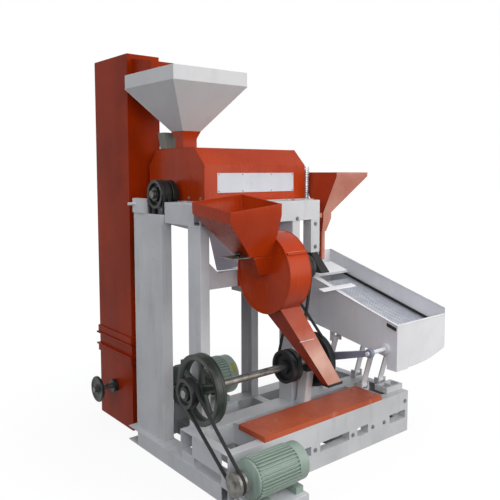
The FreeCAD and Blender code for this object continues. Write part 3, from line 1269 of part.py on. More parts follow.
socket_front = "(-socket_forward)"
wells = [box(f"socket_left + 12 + {index} * (socket_length / 2 - 4)",
             f"{socket_front} + 16", f"{base_top} + 10", "socket_length / 2 - 20",
             "socket_width - 32", "socket_height") for index in range(2)]
piece("socket_box", cut(box("socket_left", socket_front, base_top, "socket_length",
                            "socket_width", "socket_height"), *wells))

doc.recompute()

# Checks, then one STEP file for each sub-part

for item in doc.Objects:
    for state in item.State:
        if state in ("Invalid", "Error"):
            raise RuntimeError(f"{item.Name} ({item.Label}) did not recompute")
for label, item in PIECES.items():
    if item.Shape.isNull() or not item.Shape.isValid() or not item.Shape.Solids:
        raise RuntimeError(f"{label} has no valid solid")

os.makedirs("parts", exist_ok=True)
for label, item in PIECES.items():
    item.Shape.exportStep(f"parts/{label}.step")
print(f"{len(PIECES)} sub-parts written")
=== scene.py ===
import bmesh
import bpy
import math
from mathutils import Matrix, Vector


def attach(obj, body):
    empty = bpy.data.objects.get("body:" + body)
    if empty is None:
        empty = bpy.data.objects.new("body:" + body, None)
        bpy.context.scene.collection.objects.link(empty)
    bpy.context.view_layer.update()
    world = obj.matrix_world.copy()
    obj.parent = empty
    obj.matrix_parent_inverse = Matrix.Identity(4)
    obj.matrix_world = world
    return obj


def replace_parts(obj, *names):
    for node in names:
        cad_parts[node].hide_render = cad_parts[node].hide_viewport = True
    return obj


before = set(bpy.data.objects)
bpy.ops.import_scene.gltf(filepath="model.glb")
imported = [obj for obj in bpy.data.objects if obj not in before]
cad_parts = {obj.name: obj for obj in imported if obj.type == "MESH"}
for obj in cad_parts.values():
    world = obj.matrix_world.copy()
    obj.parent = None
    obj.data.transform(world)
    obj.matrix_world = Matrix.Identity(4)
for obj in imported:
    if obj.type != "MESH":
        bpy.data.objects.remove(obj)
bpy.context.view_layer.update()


# Camera, floor and light.
# The mill stands on a pale floor. The camera looks from the mill's front left corner, a little
# above the roller. Four soft lamps and a dim sky light it, and the left faces stay darker.

def at(x, y, z):
    """A point in layout millimetres, from the frame's front left foot, as scene metres."""
    return Vector(((x - 524) / 1000, (y - 330.5) / 1000, z / 1000))


def linear(hex_colour):
    """An sRGB colour such as #A03A1E as the linear colour that shaders take."""
    parts = [int(hex_colour[i:i + 2], 16) / 255 for i in (1, 3, 5)]
    return [p / 12.92 if p <= 0.04045 else ((p + 0.055) / 1.055) ** 2.4 for p in parts] + [1]


def add_node(material, kind, inputs=None, **settings):
    """Adds one shader node, sets its own settings and fills or links its inputs."""
    node = material.node_tree.nodes.new(kind)
    for name, value in settings.items():
        setattr(node, name, value)
    for name, value in (inputs or {}).items():
        if isinstance(value, bpy.types.NodeSocket):
            material.node_tree.links.new(value, node.inputs[name])
        else:
            node.inputs[name].default_value = value
    return node


# The lens, the place and the tilt come from the straight edges of the posts, beams and panel.
camera_data = bpy.data.cameras.new("camera")
camera_data.lens = 44.51
camera_data.sensor_width = 36
camera_data.shift_x = -0.0248
camera_data.shift_y = -0.0582
camera = bpy.data.objects.new("camera", camera_data)
camera.location = at(-1526, -2250, 1400)
camera.rotation_euler = (math.radians(85.34), 0, math.radians(-39.93))
bpy.context.scene.collection.objects.link(camera)
bpy.context.scene.camera = camera
bpy.context.scene.view_settings.view_transform = "Standard"

world = bpy.data.worlds.new("studio")
world.use_nodes = True
bpy.context.scene.world = world
world.node_tree.nodes.clear()
# The camera and polished metal see a white room; the painted sheets are lit by a dimmer sky.
light_path = add_node(world, "ShaderNodeLightPath")
seen = add_node(world, "ShaderNodeMath", {0: light_path.outputs["Is Camera Ray"],
                                         1: light_path.outputs["Is Glossy Ray"]},
                operation="MAXIMUM")
sky_way = add_node(world, "ShaderNodeTexCoord").outputs["Generated"]
sky_parts = add_node(world, "ShaderNodeSeparateXYZ", {0: sky_way})
sky_rise = add_node(world, "ShaderNodeMapRange",
                    {"Value": sky_parts.outputs["Z"], "From Min": 0.0, "From Max": 1.0,
                     "To Min": 0.15, "To Max": 0.85})
soft_sky = add_node(world, "ShaderNodeBackground",
                    {"Color": linear("#F1F3F6"), "Strength": sky_rise.outputs[0]})
white_sky = add_node(world, "ShaderNodeBackground", {"Color": (1, 1, 1, 1), "Strength": 1.0})
sky = add_node(world, "ShaderNodeMixShader", {0: seen.outputs[0], 1: soft_sky.outputs[0],
                                              2: white_sky.outputs[0]})
add_node(world, "ShaderNodeOutputWorld", {"Surface": sky.outputs[0]})


def lamp(name, spot, target, size, watts, colour):
    """A soft round lamp at one layout point, aimed at another."""
    data = bpy.data.lights.new(name, "AREA")
    data.shape = "DISK"
    data.size = size
    data.energy = watts
    data.color = linear(colour)[:3]
    light = bpy.data.objects.new(name, data)
    light.location = at(*spot)
    aim = at(*target) - light.location
    light.rotation_euler = aim.to_track_quat("-Z", "Y").to_euler()
    bpy.context.scene.collection.objects.link(light)


lamp("front_right_lamp", (1900, -2900, 1700), (500, 100, 900), 2.6, 54, "#FFFAF3")
lamp("top_lamp", (500, -1200, 3800), (500, 0, 900), 2.4, 16, "#F8FAFF")
lamp("left_lamp", (-4200, -800, 2600), (200, 300, 1000), 2.4, 40, "#F7F8FF")
lamp("front_left_lamp", (-1300, -3300, 2000), (600, -100, 800), 2.2, 56, "#F9FAFF")

floor_mesh = bpy.data.meshes.new("floor")
floor_half = 40
floor_mesh.from_pydata([(-floor_half, -floor_half, 0), (floor_half, -floor_half, 0),
                        (floor_half, floor_half, 0), (-floor_half, floor_half, 0)],
                       [], [(0, 1, 2, 3)])
floor = bpy.data.objects.new("floor", floor_mesh)
floor.location.z = -0.0004
bpy.context.scene.collection.objects.link(floor)
floor_paint = bpy.data.materials.new("pale_floor")
floor_paint.use_nodes = True
floor_paint.node_tree.nodes.clear()
floor_path = add_node(floor_paint, "ShaderNodeLightPath")
floor_seen = add_node(floor_paint, "ShaderNodeMath",
                      {0: floor_path.outputs["Is Camera Ray"],
                       1: floor_path.outputs["Is Glossy Ray"]}, operation="MAXIMUM")
floor_where = add_node(floor_paint, "ShaderNodeTexCoord").outputs["Object"]
floor_reach = add_node(floor_paint, "ShaderNodeVectorMath", {0: floor_where}, operation="LENGTH")
floor_fade = add_node(floor_paint, "ShaderNodeMapRange",
                      {"Value": floor_reach.outputs["Value"], "From Min": 0.8, "From Max": 3.2,
                       "To Min": 0.9, "To Max": 1.0})
floor_matt = add_node(floor_paint, "ShaderNodeBsdfDiffuse", {"Color": (0.1, 0.1, 0.1, 1)})
floor_white = add_node(floor_paint, "ShaderNodeEmission",
                       {"Color": (1, 1, 1, 1), "Strength": floor_fade.outputs[0]})
floor_sum = add_node(floor_paint, "ShaderNodeAddShader",
                     {0: floor_matt.outputs[0], 1: floor_white.outputs[0]})
floor_mix = add_node(floor_paint, "ShaderNodeMixShader",
                     {0: floor_seen.outputs[0], 1: floor_matt.outputs[0],
                      2: floor_sum.outputs[0]})
add_node(floor_paint, "ShaderNodeOutputMaterial", {"Surface": floor_mix.outputs[0]})
floor_mesh.materials.append(floor_paint)


# Base and main frame.
# Rolled mild-steel channels, saw cut, butt welded and brushed with pale grey enamel. Two tiers of
# rails on spacers carry four posts and a ring of beams; the welds and corners show rust and dust.

def painted_steel(name, colour, patch, grime, gloss=0.42, spread=0.5, chips=0.5, rust="#4A2A1A",
                  shine=0.3):
    """Brush or spray enamel: broad colour drift, settled dust, runs, fine peel and worn chips.

    The drift is about 300 mm across, the runs 60 mm by 400 mm and the chips 20 mm. The orange
    peel is drawn 6 mm across, coarser than real, so that it shows. A mix node's sockets 6 and 7
    are its two colours.
    """
    paint = bpy.data.materials.new(name)
    paint.use_nodes = True
    shader = paint.node_tree.nodes["Principled BSDF"]
    where = add_node(paint, "ShaderNodeTexCoord").outputs["Object"]
    drift = add_node(paint, "ShaderNodeTexNoise", {"Vector": where, "Scale": 3.2, "Detail": 5,
                                                   "Roughness": 0.62})
    drift_band = add_node(paint, "ShaderNodeMapRange",
                          {"Value": drift.outputs["Fac"], "From Min": 0.35, "From Max": 0.68})
    body = add_node(paint, "ShaderNodeMix", {"Factor": drift_band.outputs[0]}, data_type="RGBA")
    body.inputs[6].default_value = linear(colour)
    body.inputs[7].default_value = linear(patch)
    runs_map = add_node(paint, "ShaderNodeMapping", {"Vector": where, "Scale": (17, 17, 2.4)})
    runs = add_node(paint, "ShaderNodeTexNoise", {"Vector": runs_map.outputs[0], "Scale": 1,
                                                  "Detail": 6, "Roughness": 0.6})
    runs_band = add_node(paint, "ShaderNodeMapRange",
                         {"Value": runs.outputs["Fac"], "From Min": 0.57, "From Max": 0.85,
                          "To Max": spread})
    overlay_mix = add_node(paint, "ShaderNodeMix", {"Factor": runs_band.outputs[0]}, data_type="RGBA")
    paint.node_tree.links.new(body.outputs[2], overlay_mix.inputs[6])
    overlay_mix.inputs[7].default_value = linear(grime)
    specks = add_node(paint, "ShaderNodeTexNoise", {"Vector": where, "Scale": 46, "Detail": 8,
                                                    "Roughness": 0.7})
    chip_zone = add_node(paint, "ShaderNodeTexNoise", {"Vector": where, "Scale": 7, "Detail": 3})
    chip_sum = add_node(paint, "ShaderNodeMath", {0: specks.outputs["Fac"],
                                                  1: chip_zone.outputs["Fac"]},
                        operation="ADD")
    chip_band = add_node(paint, "ShaderNodeMapRange",
                         {"Value": chip_sum.outputs[0], "From Min": 1.27, "From Max": 1.33,
                          "To Max": chips})
    top = add_node(paint, "ShaderNodeMix", {"Factor": chip_band.outputs[0]}, data_type="RGBA")
    paint.node_tree.links.new(overlay_mix.outputs[2], top.inputs[6])
    top.inputs[7].default_value = linear(rust)
    paint.node_tree.links.new(top.outputs[2], shader.inputs["Base Color"])
    rough = add_node(paint, "ShaderNodeMapRange",
                     {"Value": runs.outputs["Fac"], "From Min": 0.3, "From Max": 0.8,
                      "To Min": gloss - 0.06, "To Max": gloss + 0.12})
    paint.node_tree.links.new(rough.outputs[0], shader.inputs["Roughness"])
    peel = add_node(paint, "ShaderNodeTexNoise", {"Vector": where, "Scale": 160, "Detail": 3})
    peel_sum = add_node(paint, "ShaderNodeMath", {0: peel.outputs["Fac"],
                                                  1: chip_band.outputs[0]},
                        operation="SUBTRACT")
    bump = add_node(paint, "ShaderNodeBump", {"Height": peel_sum.outputs[0], "Strength": 0.12,
                                              "Distance": 0.0006})
    paint.node_tree.links.new(bump.outputs[0], shader.inputs["Normal"])
    shader.inputs["Specular IOR Level"].default_value = shine
    return paint


def finish_mesh(piece, material, bevel=0.0, angle=32, segments=2):
    """Rounds the sharp edges, smooths the shading between them and gives the finish."""
    mesh = piece.data
    mesh.materials.clear()
    mesh.materials.append(material)
    mesh.shade_smooth()
    if not bevel:
        mesh.set_sharp_from_angle(angle=math.radians(angle + 8))
        return
    rounding = piece.modifiers.new("rounding", "BEVEL")
    rounding.width = bevel / 1000
    rounding.segments = segments
    rounding.limit_method = "ANGLE"
    rounding.angle_limit = math.radians(angle)
    rounding.use_clamp_overlap = True
    flat = piece.modifiers.new("flat_faces", "WEIGHTED_NORMAL")
    flat.weight = 90
    view = bpy.context.evaluated_depsgraph_get()
    piece.data = bpy.data.meshes.new_from_object(piece.evaluated_get(view))
    piece.modifiers.clear()


def piece_from(name, body, bm, material, bevel=0.0, angle=32, segments=2):
    """Makes a named piece from a bmesh, rounds it and ties it to its body."""
    mesh = bpy.data.meshes.new(name)
    bmesh.ops.recalc_face_normals(bm, faces=bm.faces)
    bm.to_mesh(mesh)
    bm.free()
    piece = bpy.data.objects.new(name, mesh)
    bpy.context.scene.collection.objects.link(piece)
    finish_mesh(piece, material, bevel, angle, segments)
    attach(piece, body)
    return piece


def rounded_node(node, body, material, bevel=1.5, angle=32):
    """The node's own solid with rolled corners, as the real piece has, in its place."""
    bm = bmesh.new()
    bm.from_mesh(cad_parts[node].data)
    bmesh.ops.remove_doubles(bm, verts=bm.verts, dist=0.00002)
    bmesh.ops.dissolve_limit(bm, angle_limit=math.radians(1.5), verts=bm.verts, edges=bm.edges)
    piece = piece_from(node + "_skin", body, bm, material, bevel, angle)
    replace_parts(piece, node)
    return piece


def block(bm, low, high):
    """Adds a box between two layout corners."""
    low, high = at(*low), at(*high)
    matrix = Matrix.Translation((low + high) / 2)
    bmesh.ops.create_cube(bm, size=1, matrix=matrix @ Matrix.Diagonal((*(high - low), 1)))


def lathe(bm, axis, centre, profile, steps=48):
    """Turns a closed outline of (distance along the axis, radius) points about the axis."""
    origin = at(*centre)
    frames = {"x": (Vector((1, 0, 0)), Vector((0, 1, 0)), Vector((0, 0, 1))),
              "y": (Vector((0, 1, 0)), Vector((0, 0, 1)), Vector((1, 0, 0))),
              "z": (Vector((0, 0, 1)), Vector((1, 0, 0)), Vector((0, 1, 0)))}
    along, side, up = frames[axis]
    rings = []
    for step in range(steps):
        turn = 2 * math.pi * step / steps
        out = side * math.cos(turn) + up * math.sin(turn)
        rings.append([bm.verts.new(origin + along * (a / 1000) + out * (r / 1000))
                      for a, r in profile])
    for step in range(steps):
        here, there = rings[step], rings[(step + 1) % steps]
        for i in range(len(profile)):
            j = (i + 1) % len(profile)
            bm.faces.new((here[i], here[j], there[j], there[i]))
    bmesh.ops.remove_doubles(bm, verts=bm.verts, dist=0.000002)


def hex_bolts(name, body, spots, material, size=9, washer=12, head=6):
    """Hexagon heads with washers; each spot is (x, y, z, direction)."""
    bm = bmesh.new()
    turns = {"+x": ("x", 1), "-x": ("x", -1), "+y": ("y", 1), "-y": ("y", -1),
             "+z": ("z", 1), "-z": ("z", -1)}
    for x, y, z, way in spots:
        axis, sign = turns[way]
        lathe(bm, axis, (x, y, z), [(-1 * sign, 0.01), (-1 * sign, washer),
                                    (1.6 * sign, washer), (1.6 * sign, 0.01)], 20)
        lathe(bm, axis, (x, y, z), [(1.6 * sign, 0.01), (1.6 * sign, size),
                                    ((head + 0.6) * sign, size),
                                    ((head + 1.6) * sign, size * 0.86),
                                    ((head + 1.6) * sign, 0.01)], 6)
    piece_from(name, body, bm, material, 0.5, 25, 1)


def skin(bm, rings):
    """Joins rings of points one after another and closes both ends."""
    for here, there in zip(rings, rings[1:]):
        for k in range(len(here)):
            j = (k + 1) % len(here)
            bm.faces.new((here[k], here[j], there[j], there[k]))
    bm.faces.new(rings[0])
    bm.faces.new(rings[-1])


def weld(bm, start, end, radius=2.6):
    """A weld bead between two layout points: overlapping drops with a rippled back."""
    start, end = at(*start), at(*end)
    run = end - start
    count = max(3, int(run.length / 0.006))
    side = run.normalized().orthogonal().normalized()
    other = run.normalized().cross(side)
    rings = []
    for i in range(count * 2 + 1):
        swell = radius / 1000 * (1.0 if i % 2 else 0.72)
        middle = start + run * (i / (count * 2))
        rings.append([bm.verts.new(middle + (side * math.cos(a) + other * math.sin(a)) * swell)
                      for a in [math.pi / 3 * k for k in range(6)]])
    skin(bm, rings)


frame_paint = painted_steel("pale_enamel", "#D0D2D4", "#BEC0C3", "#99948C", gloss=0.45,
                            spread=0.5, chips=0.4, rust="#7A685C")
for frame_node in ("front_posts", "rear_posts", "top_frame", "mid_front_rail", "base_frame"):
    rounded_node(frame_node, "main_frame", frame_paint, 2.5)

bolt_steel = painted_steel("zinc_bolts", "#8D8D8B", "#76746F", "#3C3833", gloss=0.34,
                           chips=0.5, rust="#5B3A22")
frame_bolts = []
for post_x in (0, 554):
    for bolt_y in (25, 75):
        frame_bolts.append((post_x + 25, bolt_y, 1250, "+z"))
for spacer_x in (-20, 210, 458, 719, 870, 960):
    frame_bolts.append((spacer_x, -265, 96, "-y"))
frame_bolts += [(1132, -265, 168, "-y"), (1158, -190, 168, "+x"), (1158, -60, 168, "+x"),
                (712, 0, 1128, "-y"), (712, 0, 1010, "-y"), (20, 0, 1165, "-y"),
                (585, 0, 1160, "-y"), (40, 0, 1235, "-y")]
hex_bolts("frame_bolts", "main_frame", frame_bolts, bolt_steel, 8, 11, 6)

welds = bmesh.new()
for post_x in (0, 554):
    weld(welds, (post_x, 0, 221), (post_x + 50, 0, 221))
    weld(welds, (post_x, 0, 221), (post_x, 100, 221))
    weld(welds, (post_x, 0, 1149), (post_x + 50, 0, 1149))
    weld(welds, (post_x, 0, 1149), (post_x, 100, 1149))
    weld(welds, (post_x + 50, 10, 1149), (post_x + 50, 98, 1149))
for cross_x in (180, 564, 948):
    weld(welds, (cross_x, -215, 220), (cross_x + 50, -215, 220))
    weld(welds, (cross_x, 0, 220), (cross_x + 50, 0, 220))
weld(welds, (50, 10, 866), (50, 10, 934))
weld(welds, (554, 10, 866), (554, 10, 934))
weld(welds, (1108, -215, 220), (1158, -215, 220))
weld(welds, (682, 0, 1149), (742, 0, 1149))
piece_from("frame_welds", "main_frame", welds, frame_paint)


# Front plank.
# A flat steel tread plate in orange enamel, screwed to the front tier with four countersunk
# screws. Its pale brick colour is partly worn, dusty paint and partly painted sheen.

# Painted sheen with real wear: the plate's lighter brick colour and its pale streaks.
plank_wear_and_sheen_paint = painted_steel("scuffed_and_sheen_orange", "#BE5A38", "#AB4A2A", "#C08E76", gloss=0.5,
                            spread=0.85, chips=0.5, rust="#6A3A28")
rounded_node("front_plank", "main_frame", plank_wear_and_sheen_paint, 2.0)
plank_screws = bmesh.new()
for screw_x in (209, 879):
    for screw_y in (-235, -110):
        lathe(plank_screws, "z", (screw_x, screw_y, 220),
              [(2, 0.01), (2, 4.6), (22.5, 4.6), (22.5, 1.2), (20.5, 1.2), (20.5, 0.01)], 20)
piece_from("plank_screws", "main_frame", plank_screws, bolt_steel)


# Roller hood with its neck, deck and blank panel.
# Folded 3 mm sheet in orange enamel with welded corners, bolted down on the deck plate. The
# white panel is pop-riveted to its front.

orange_paint = painted_steel("orange_enamel", "#B03A10", "#9E2F0A", "#702506", gloss=0.26,
                             spread=0.3, chips=0.3, rust="#3A1A10", shine=0.13)
rounded_node("roller_hood", "main_frame", orange_paint, 3.0)
rounded_node("roller_deck", "main_frame", frame_paint, 1.0)
panel_paint = painted_steel("panel_white", "#C9CBD1", "#BEC1C7", "#B2B0AC", gloss=0.4,
                            spread=0.3, chips=0.1)
rounded_node("hood_panel", "main_frame", panel_paint, 0.6)
hood_seams = bmesh.new()
for seam_x in (114, 757):
    weld(hood_seams, (seam_x, 130, 1254), (seam_x, 130, 1427), 1.6)
    weld(hood_seams, (seam_x, 130, 1427), (seam_x, 212, 1509), 1.6)
    weld(hood_seams, (seam_x, 212, 1509), (seam_x, 548, 1509), 1.6)
    weld(hood_seams, (seam_x, 548, 1509), (seam_x, 630, 1427), 1.6)
    weld(hood_seams, (seam_x, 630, 1427), (seam_x, 630, 1254), 1.6)
for neck_end in ((120, 317, 200, 317), (200, 317, 200, 387), (200, 387, 120, 387),
                 (120, 387, 120, 317)):
    weld(hood_seams, (neck_end[0], neck_end[1], 1510), (neck_end[2], neck_end[3], 1510), 2.4)
piece_from("hood_seams", "main_frame", hood_seams, orange_paint)
panel_rivets = bmesh.new()
for rivet_x in (196, 340, 523, 668):
    for rivet_z in (1301, 1381):
        lathe(panel_rivets, "y", (rivet_x, 128, rivet_z),
              [(0, 0.01), (0, 4), (-1.4, 3), (-2.0, 1.4), (-2.0, 0.01)], 16)
piece_from("panel_rivets", "main_frame", panel_rivets, bolt_steel)
hex_bolts("hood_bolts", "main_frame", [(114, y, 1268, "-x") for y in (160, 260, 500, 600)] +
          [(757, y, 1268, "+x") for y in (160, 260, 500, 600)], bolt_steel, 6, 8, 4)


# Feed hopper and dust spout.
# The feed hopper is bent and welded sheet in off-white paint with a tall upright rim. The small
# dust spout on the hood is unpainted grey sheet.

hopper_paint = painted_steel("hopper_white", "#D3D3D4", "#C8C8C9", "#AFABA6", gloss=0.38,
                             spread=0.35, chips=0.15, rust="#7C7468")
rounded_node("feed_hopper", "main_frame", hopper_paint, 2.0)
hopper_seams = bmesh.new()
for corner_low, corner_high in (((107.5, 299.5), (-66, 99.5)), ((212.5, 299.5), (346, 99.5)),
                                ((107.5, 404.5), (-66, 548.5)), ((212.5, 404.5), (346, 548.5))):
    weld(hopper_seams, (*corner_low, 1593), (*corner_high, 1799), 1.5)
piece_from("hopper_seams", "main_frame", hopper_seams, hopper_paint)
spout_grey = painted_steel("dull_grey_sheet", "#85887F", "#74776F", "#5E5C55", gloss=0.45)
rounded_node("dust_spout", "main_frame", spout_grey, 1.5)


# Roller, main shaft and its pulleys.
# A turned steel shaft runs through flange bearings in the hood's ends. It carries an emery-coated
# roller, a cast twin-groove pulley in dark green on the left and a bright ribbed one on the right.

def turned_metal(name, colour, dark, rough=0.3, ring=900, axis=0):
    """Bare turned steel: fine tool rings across the axis, oil film and dark handling marks."""
    metal = bpy.data.materials.new(name)
    metal.use_nodes = True
    shader = metal.node_tree.nodes["Principled BSDF"]
    where = add_node(metal, "ShaderNodeTexCoord").outputs["Object"]
    stretch = [14, 14, 14]
    stretch[axis] = ring
    lines_map = add_node(metal, "ShaderNodeMapping", {"Vector": where, "Scale": stretch})
    lines = add_node(metal, "ShaderNodeTexNoise", {"Vector": lines_map.outputs[0], "Scale": 1,
                                                   "Detail": 3})
    film = add_node(metal, "ShaderNodeTexNoise", {"Vector": where, "Scale": 18, "Detail": 6,
                                                  "Roughness": 0.65})
    film_band = add_node(metal, "ShaderNodeMapRange",
                         {"Value": film.outputs["Fac"], "From Min": 0.42, "From Max": 0.66})
    tint = add_node(metal, "ShaderNodeMix", {"Factor": film_band.outputs[0]}, data_type="RGBA")
    tint.inputs[6].default_value = linear(colour)
    tint.inputs[7].default_value = linear(dark)
    metal.node_tree.links.new(tint.outputs[2], shader.inputs["Base Color"])
    shader.inputs["Metallic"].default_value = 0.85
    rough_range = add_node(metal, "ShaderNodeMapRange",
                           {"Value": film.outputs["Fac"], "From Min": 0.3, "From Max": 0.7,
                            "To Min": rough, "To Max": rough + 0.25})
    metal.node_tree.links.new(rough_range.outputs[0], shader.inputs["Roughness"])
    bump = add_node(metal, "ShaderNodeBump", {"Height": lines.outputs["Fac"], "Strength": 0.1,
                                              "Distance": 0.0003})
    metal.node_tree.links.new(bump.outputs[0], shader.inputs["Normal"])
    return metal


def grooved(bm, x, y, z, radius, width, grooves, bore, hub):
    """A cast V pulley: grooved rim, dished web, raised hub; x is its left face."""
    outline = [(x, bore), (x, hub), (x + width * 0.3, hub + 2), (x + width * 0.3, radius - 20),
               (x + 1, radius - 15), (x, radius - 1.5), (x + 1.5, radius)]
    for groove in range(grooves):
        middle = x + (groove + 0.5) * width / grooves
        outline += [(middle - 8, radius), (middle - 5, radius - 9), (middle + 5, radius - 9),
                    (middle + 8, radius)]
    outline += [(x + width - 1.5, radius), (x + width, radius - 1.5),
                (x + width - 1, radius - 15), (x + width * 0.7, radius - 20),
                (x + width * 0.7, hub + 2), (x + width, hub), (x + width, bore)]
    lathe(bm, "x", (0, y, z), outline, 64)


shaft_y = 380
shaft_z = 1285
shaft_steel = turned_metal("turned_shaft", "#74736F", "#47443F", 0.32)
rounded_node("main_shaft", "roller_shaft", shaft_steel, 1.5)
emery = painted_steel("emery_grit", "#4A4541", "#3B3733", "#5D564D", gloss=0.8, chips=0.2)
rounded_node("emery_roller", "roller_shaft", emery, 2.0)
dark_green = painted_steel("dark_cast_green", "#39413A", "#272D29", "#141816", gloss=0.32,
                           spread=0.7, chips=0.25, rust="#4C4A42")
oily_green = painted_steel("oiled_cast_green", "#262D28", "#1A1F1C", "#101311", gloss=0.28,
                           spread=0.7, chips=0.2, rust="#4C4A42")
pulley = bmesh.new()
grooved(pulley, -8, shaft_y, shaft_z, 70, 60, 2, 20, 34)
lathe(pulley, "x", (52, shaft_y, shaft_z),
      [(0, 20), (0, 31), (5, 31), (7, 60), (7, 67), (9, 69), (33, 69), (35, 67), (35, 60),
       (31, 30), (42, 30), (43, 20)], 64)
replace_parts(piece_from("main_pulley_casting", "roller_shaft", pulley,
                       oily_green), "main_pulley")
shaft_key = bmesh.new()
block(shaft_key, (-14, shaft_y - 3, shaft_z + 17), (48, shaft_y + 3, shaft_z + 23))
piece_from("main_pulley_key", "roller_shaft", shaft_key, bolt_steel, 0.8)
ribbed = bmesh.new()
outline = [(772, 20), (772, 70)]
for rib in range(7):
    outline += [(773.5 + rib * 4, 72), (775.5 + rib * 4, 68)]
outline += [(802, 70), (802, 20)]
lathe(ribbed, "x", (0, shaft_y, shaft_z), outline, 64)
pulley_steel = turned_metal("bright_pulley", "#B4B4B2", "#7A7873", 0.3)
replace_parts(piece_from("end_pulley_ribbed", "roller_shaft", ribbed,
                       pulley_steel), "end_pulley")
black_iron = painted_steel("black_castings", "#1D1E20", "#27282A", "#3B3834", gloss=0.4)
flanges = bmesh.new()
for flange_x, way in ((114, -1), (757, 1)):
    lathe(flanges, "x", (flange_x, shaft_y, shaft_z),
          [(0, 20.2), (0, 34), (5 * way, 34), (7 * way, 29), (12 * way, 27), (12 * way, 20.2)],
          40)
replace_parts(piece_from("roller_bearing_flanges", "main_frame", flanges,
                       black_iron), "roller_bearings")


# Ribbed pipe on the hood's right end.
# A short stiff length of bright corrugated steel pipe, carried by a stub on the hood. Rolled from
# thin strip, it has round ribs close together and ends open above the beam.

hose = bmesh.new()
hose_outline = [(-178.5, 11.2), (-178.5, 13)]
for rib in range(14):
    rib_z = -169 + rib * 12
    hose_outline += [(rib_z - 5, 12.2), (rib_z - 2.4, 16), (rib_z + 2.4, 16),
                     (rib_z + 5, 12.2)]
hose_outline += [(-7, 13.4), (0, 13.4), (0, 11.2)]
lathe(hose, "z", (782, 142, 1421), hose_outline, 32)
lathe(hose, "x", (757, 142, 1408), [(0, 9.2), (0, 13), (3, 13), (3, 10.5), (13, 10.5),
                                    (13, 9.2)], 28)
hose_steel = turned_metal("bright_hose", "#C9CACD", "#8D8F94", 0.22, 60, 2)
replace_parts(piece_from("corrugated_hose", "main_frame", hose, hose_steel),
            "ribbed_hose")


# Belt guard, belts and tension block.
# The guard is one bent white sheet beside the left posts, open towards the frame. Inside it two
# rubber V belts climb from the motor; a threaded rod in the block above sets their tension.

guard_paint = painted_steel("guard_white", "#CBCDCF", "#BBBDBF", "#98938B", gloss=0.42,
                            spread=0.5, chips=0.3, rust="#6A5A4C")
rounded_node("belt_guard", "main_frame", guard_paint, 1.5)
rounded_node("tension_block", "main_frame", frame_paint, 2.0)
rubber = painted_steel("belt_rubber", "#1A1A1B", "#222223", "#3A3633", gloss=0.62, chips=0.1)
for belt_node in ("main_belts", "countershaft_belts"):
    rounded_node(belt_node, "main_frame", rubber, 1.2, 50)
rounded_node("rubber_buffer", "main_frame", rubber, 3.0)


# Collecting hopper under the roller.
# Thin sheet in lavender-grey paint, folded to a sloping funnel, with a square spout to the sieve.

def folded_plate(bm, outline, y_near, y_far):
    """A plate across the machine from an outline of (x, z) points, between two y planes."""
    near = [bm.verts.new(at(x, y_near, z)) for x, z in outline]
    far = [bm.verts.new(at(x, y_far, z)) for x, z in outline]
    bm.faces.new(near)
    bm.faces.new(far)
    for k in range(len(outline)):
        j = (k + 1) % len(outline)
        bm.faces.new((near[k], near[j], far[j], far[k]))


lavender = painted_steel("lavender_grey", "#ACABB8", "#9D9CA9", "#7B7880", gloss=0.46,
                         spread=0.4, chips=0.2)
rounded_node("collecting_hopper", "main_frame", lavender, 1.2)
apron = bmesh.new()
folded_plate(apron, [(66, 1148), (684, 1148), (684, 976), (594, 976), (430, 940), (163, 930),
                     (112, 1130), (66, 1130)], 101.4, 103.6)
block(apron, (166, 88, 930), (428, 103, 933))
# Painted light: the apron is a lighter copy of the hopper's lavender, to cancel the shade it gets
# under the feed hopper.
apron_lit_paint = painted_steel("apron_lavender_painted_lit", "#BDBCC9", "#AFAEBC", "#8A8791", gloss=0.42,
                            spread=0.4, chips=0.15)
piece_from("collector_apron", "main_frame", apron, apron_lit_paint, 0.6)


# Burr mill.
# A split drum of rolled plate, bolted together at its flanged seam and to the middle rail. A
# square hopper feeds it through a slide gate, and a folded chute hangs below.

# Painted sheen: faces that look to the front are paled as if lit by the front lamps, mixed with
# real meal dust.
def dust_and_sheen_front(paint, pale, amount, thin_z=9.0, full_z=8.0):
    """Pale meal dust and painted sheen on the faces that look to the front, in drifts about 140 mm
    across.

    Above thin_z metres a fifth of it is left; the plain values cover a piece over its full height.
    """
    shader = paint.node_tree.nodes["Principled BSDF"]
    under = shader.inputs["Base Color"].links[0].from_socket
    where = add_node(paint, "ShaderNodeTexCoord")
    facing = add_node(paint, "ShaderNodeSeparateXYZ", {0: where.outputs["Normal"]})
    front = add_node(paint, "ShaderNodeMapRange",
                     {"Value": facing.outputs["Y"], "From Min": -0.35, "From Max": -0.8,
                      "To Min": 0.0, "To Max": amount})
    drift = add_node(paint, "ShaderNodeTexNoise", {"Vector": where.outputs["Object"],
                                                   "Scale": 7, "Detail": 5})
    cover = add_node(paint, "ShaderNodeMapRange",
                     {"Value": drift.outputs["Fac"], "From Min": 0.35, "From Max": 0.65,
                      "To Min": 0.55, "To Max": 1.0})
    height = add_node(paint, "ShaderNodeSeparateXYZ", {0: where.outputs["Object"]})
    height_fade = add_node(paint, "ShaderNodeMapRange",
                       {"Value": height.outputs["Z"], "From Min": thin_z, "From Max": full_z,
                        "To Min": 0.2, "To Max": 1.0})
    patchy = add_node(paint, "ShaderNodeMath", {0: cover.outputs[0], 1: height_fade.outputs[0]},
                      operation="MULTIPLY")
    share = add_node(paint, "ShaderNodeMath", {0: front.outputs[0], 1: patchy.outputs[0]},
                     operation="MULTIPLY")
    overlay_mix = add_node(paint, "ShaderNodeMix", {"Factor": share.outputs[0]}, data_type="RGBA")
    paint.node_tree.links.new(under, overlay_mix.inputs[6])
    overlay_mix.inputs[7].default_value = linear(pale)
    paint.node_tree.links.new(overlay_mix.outputs[2], shader.inputs["Base Color"])


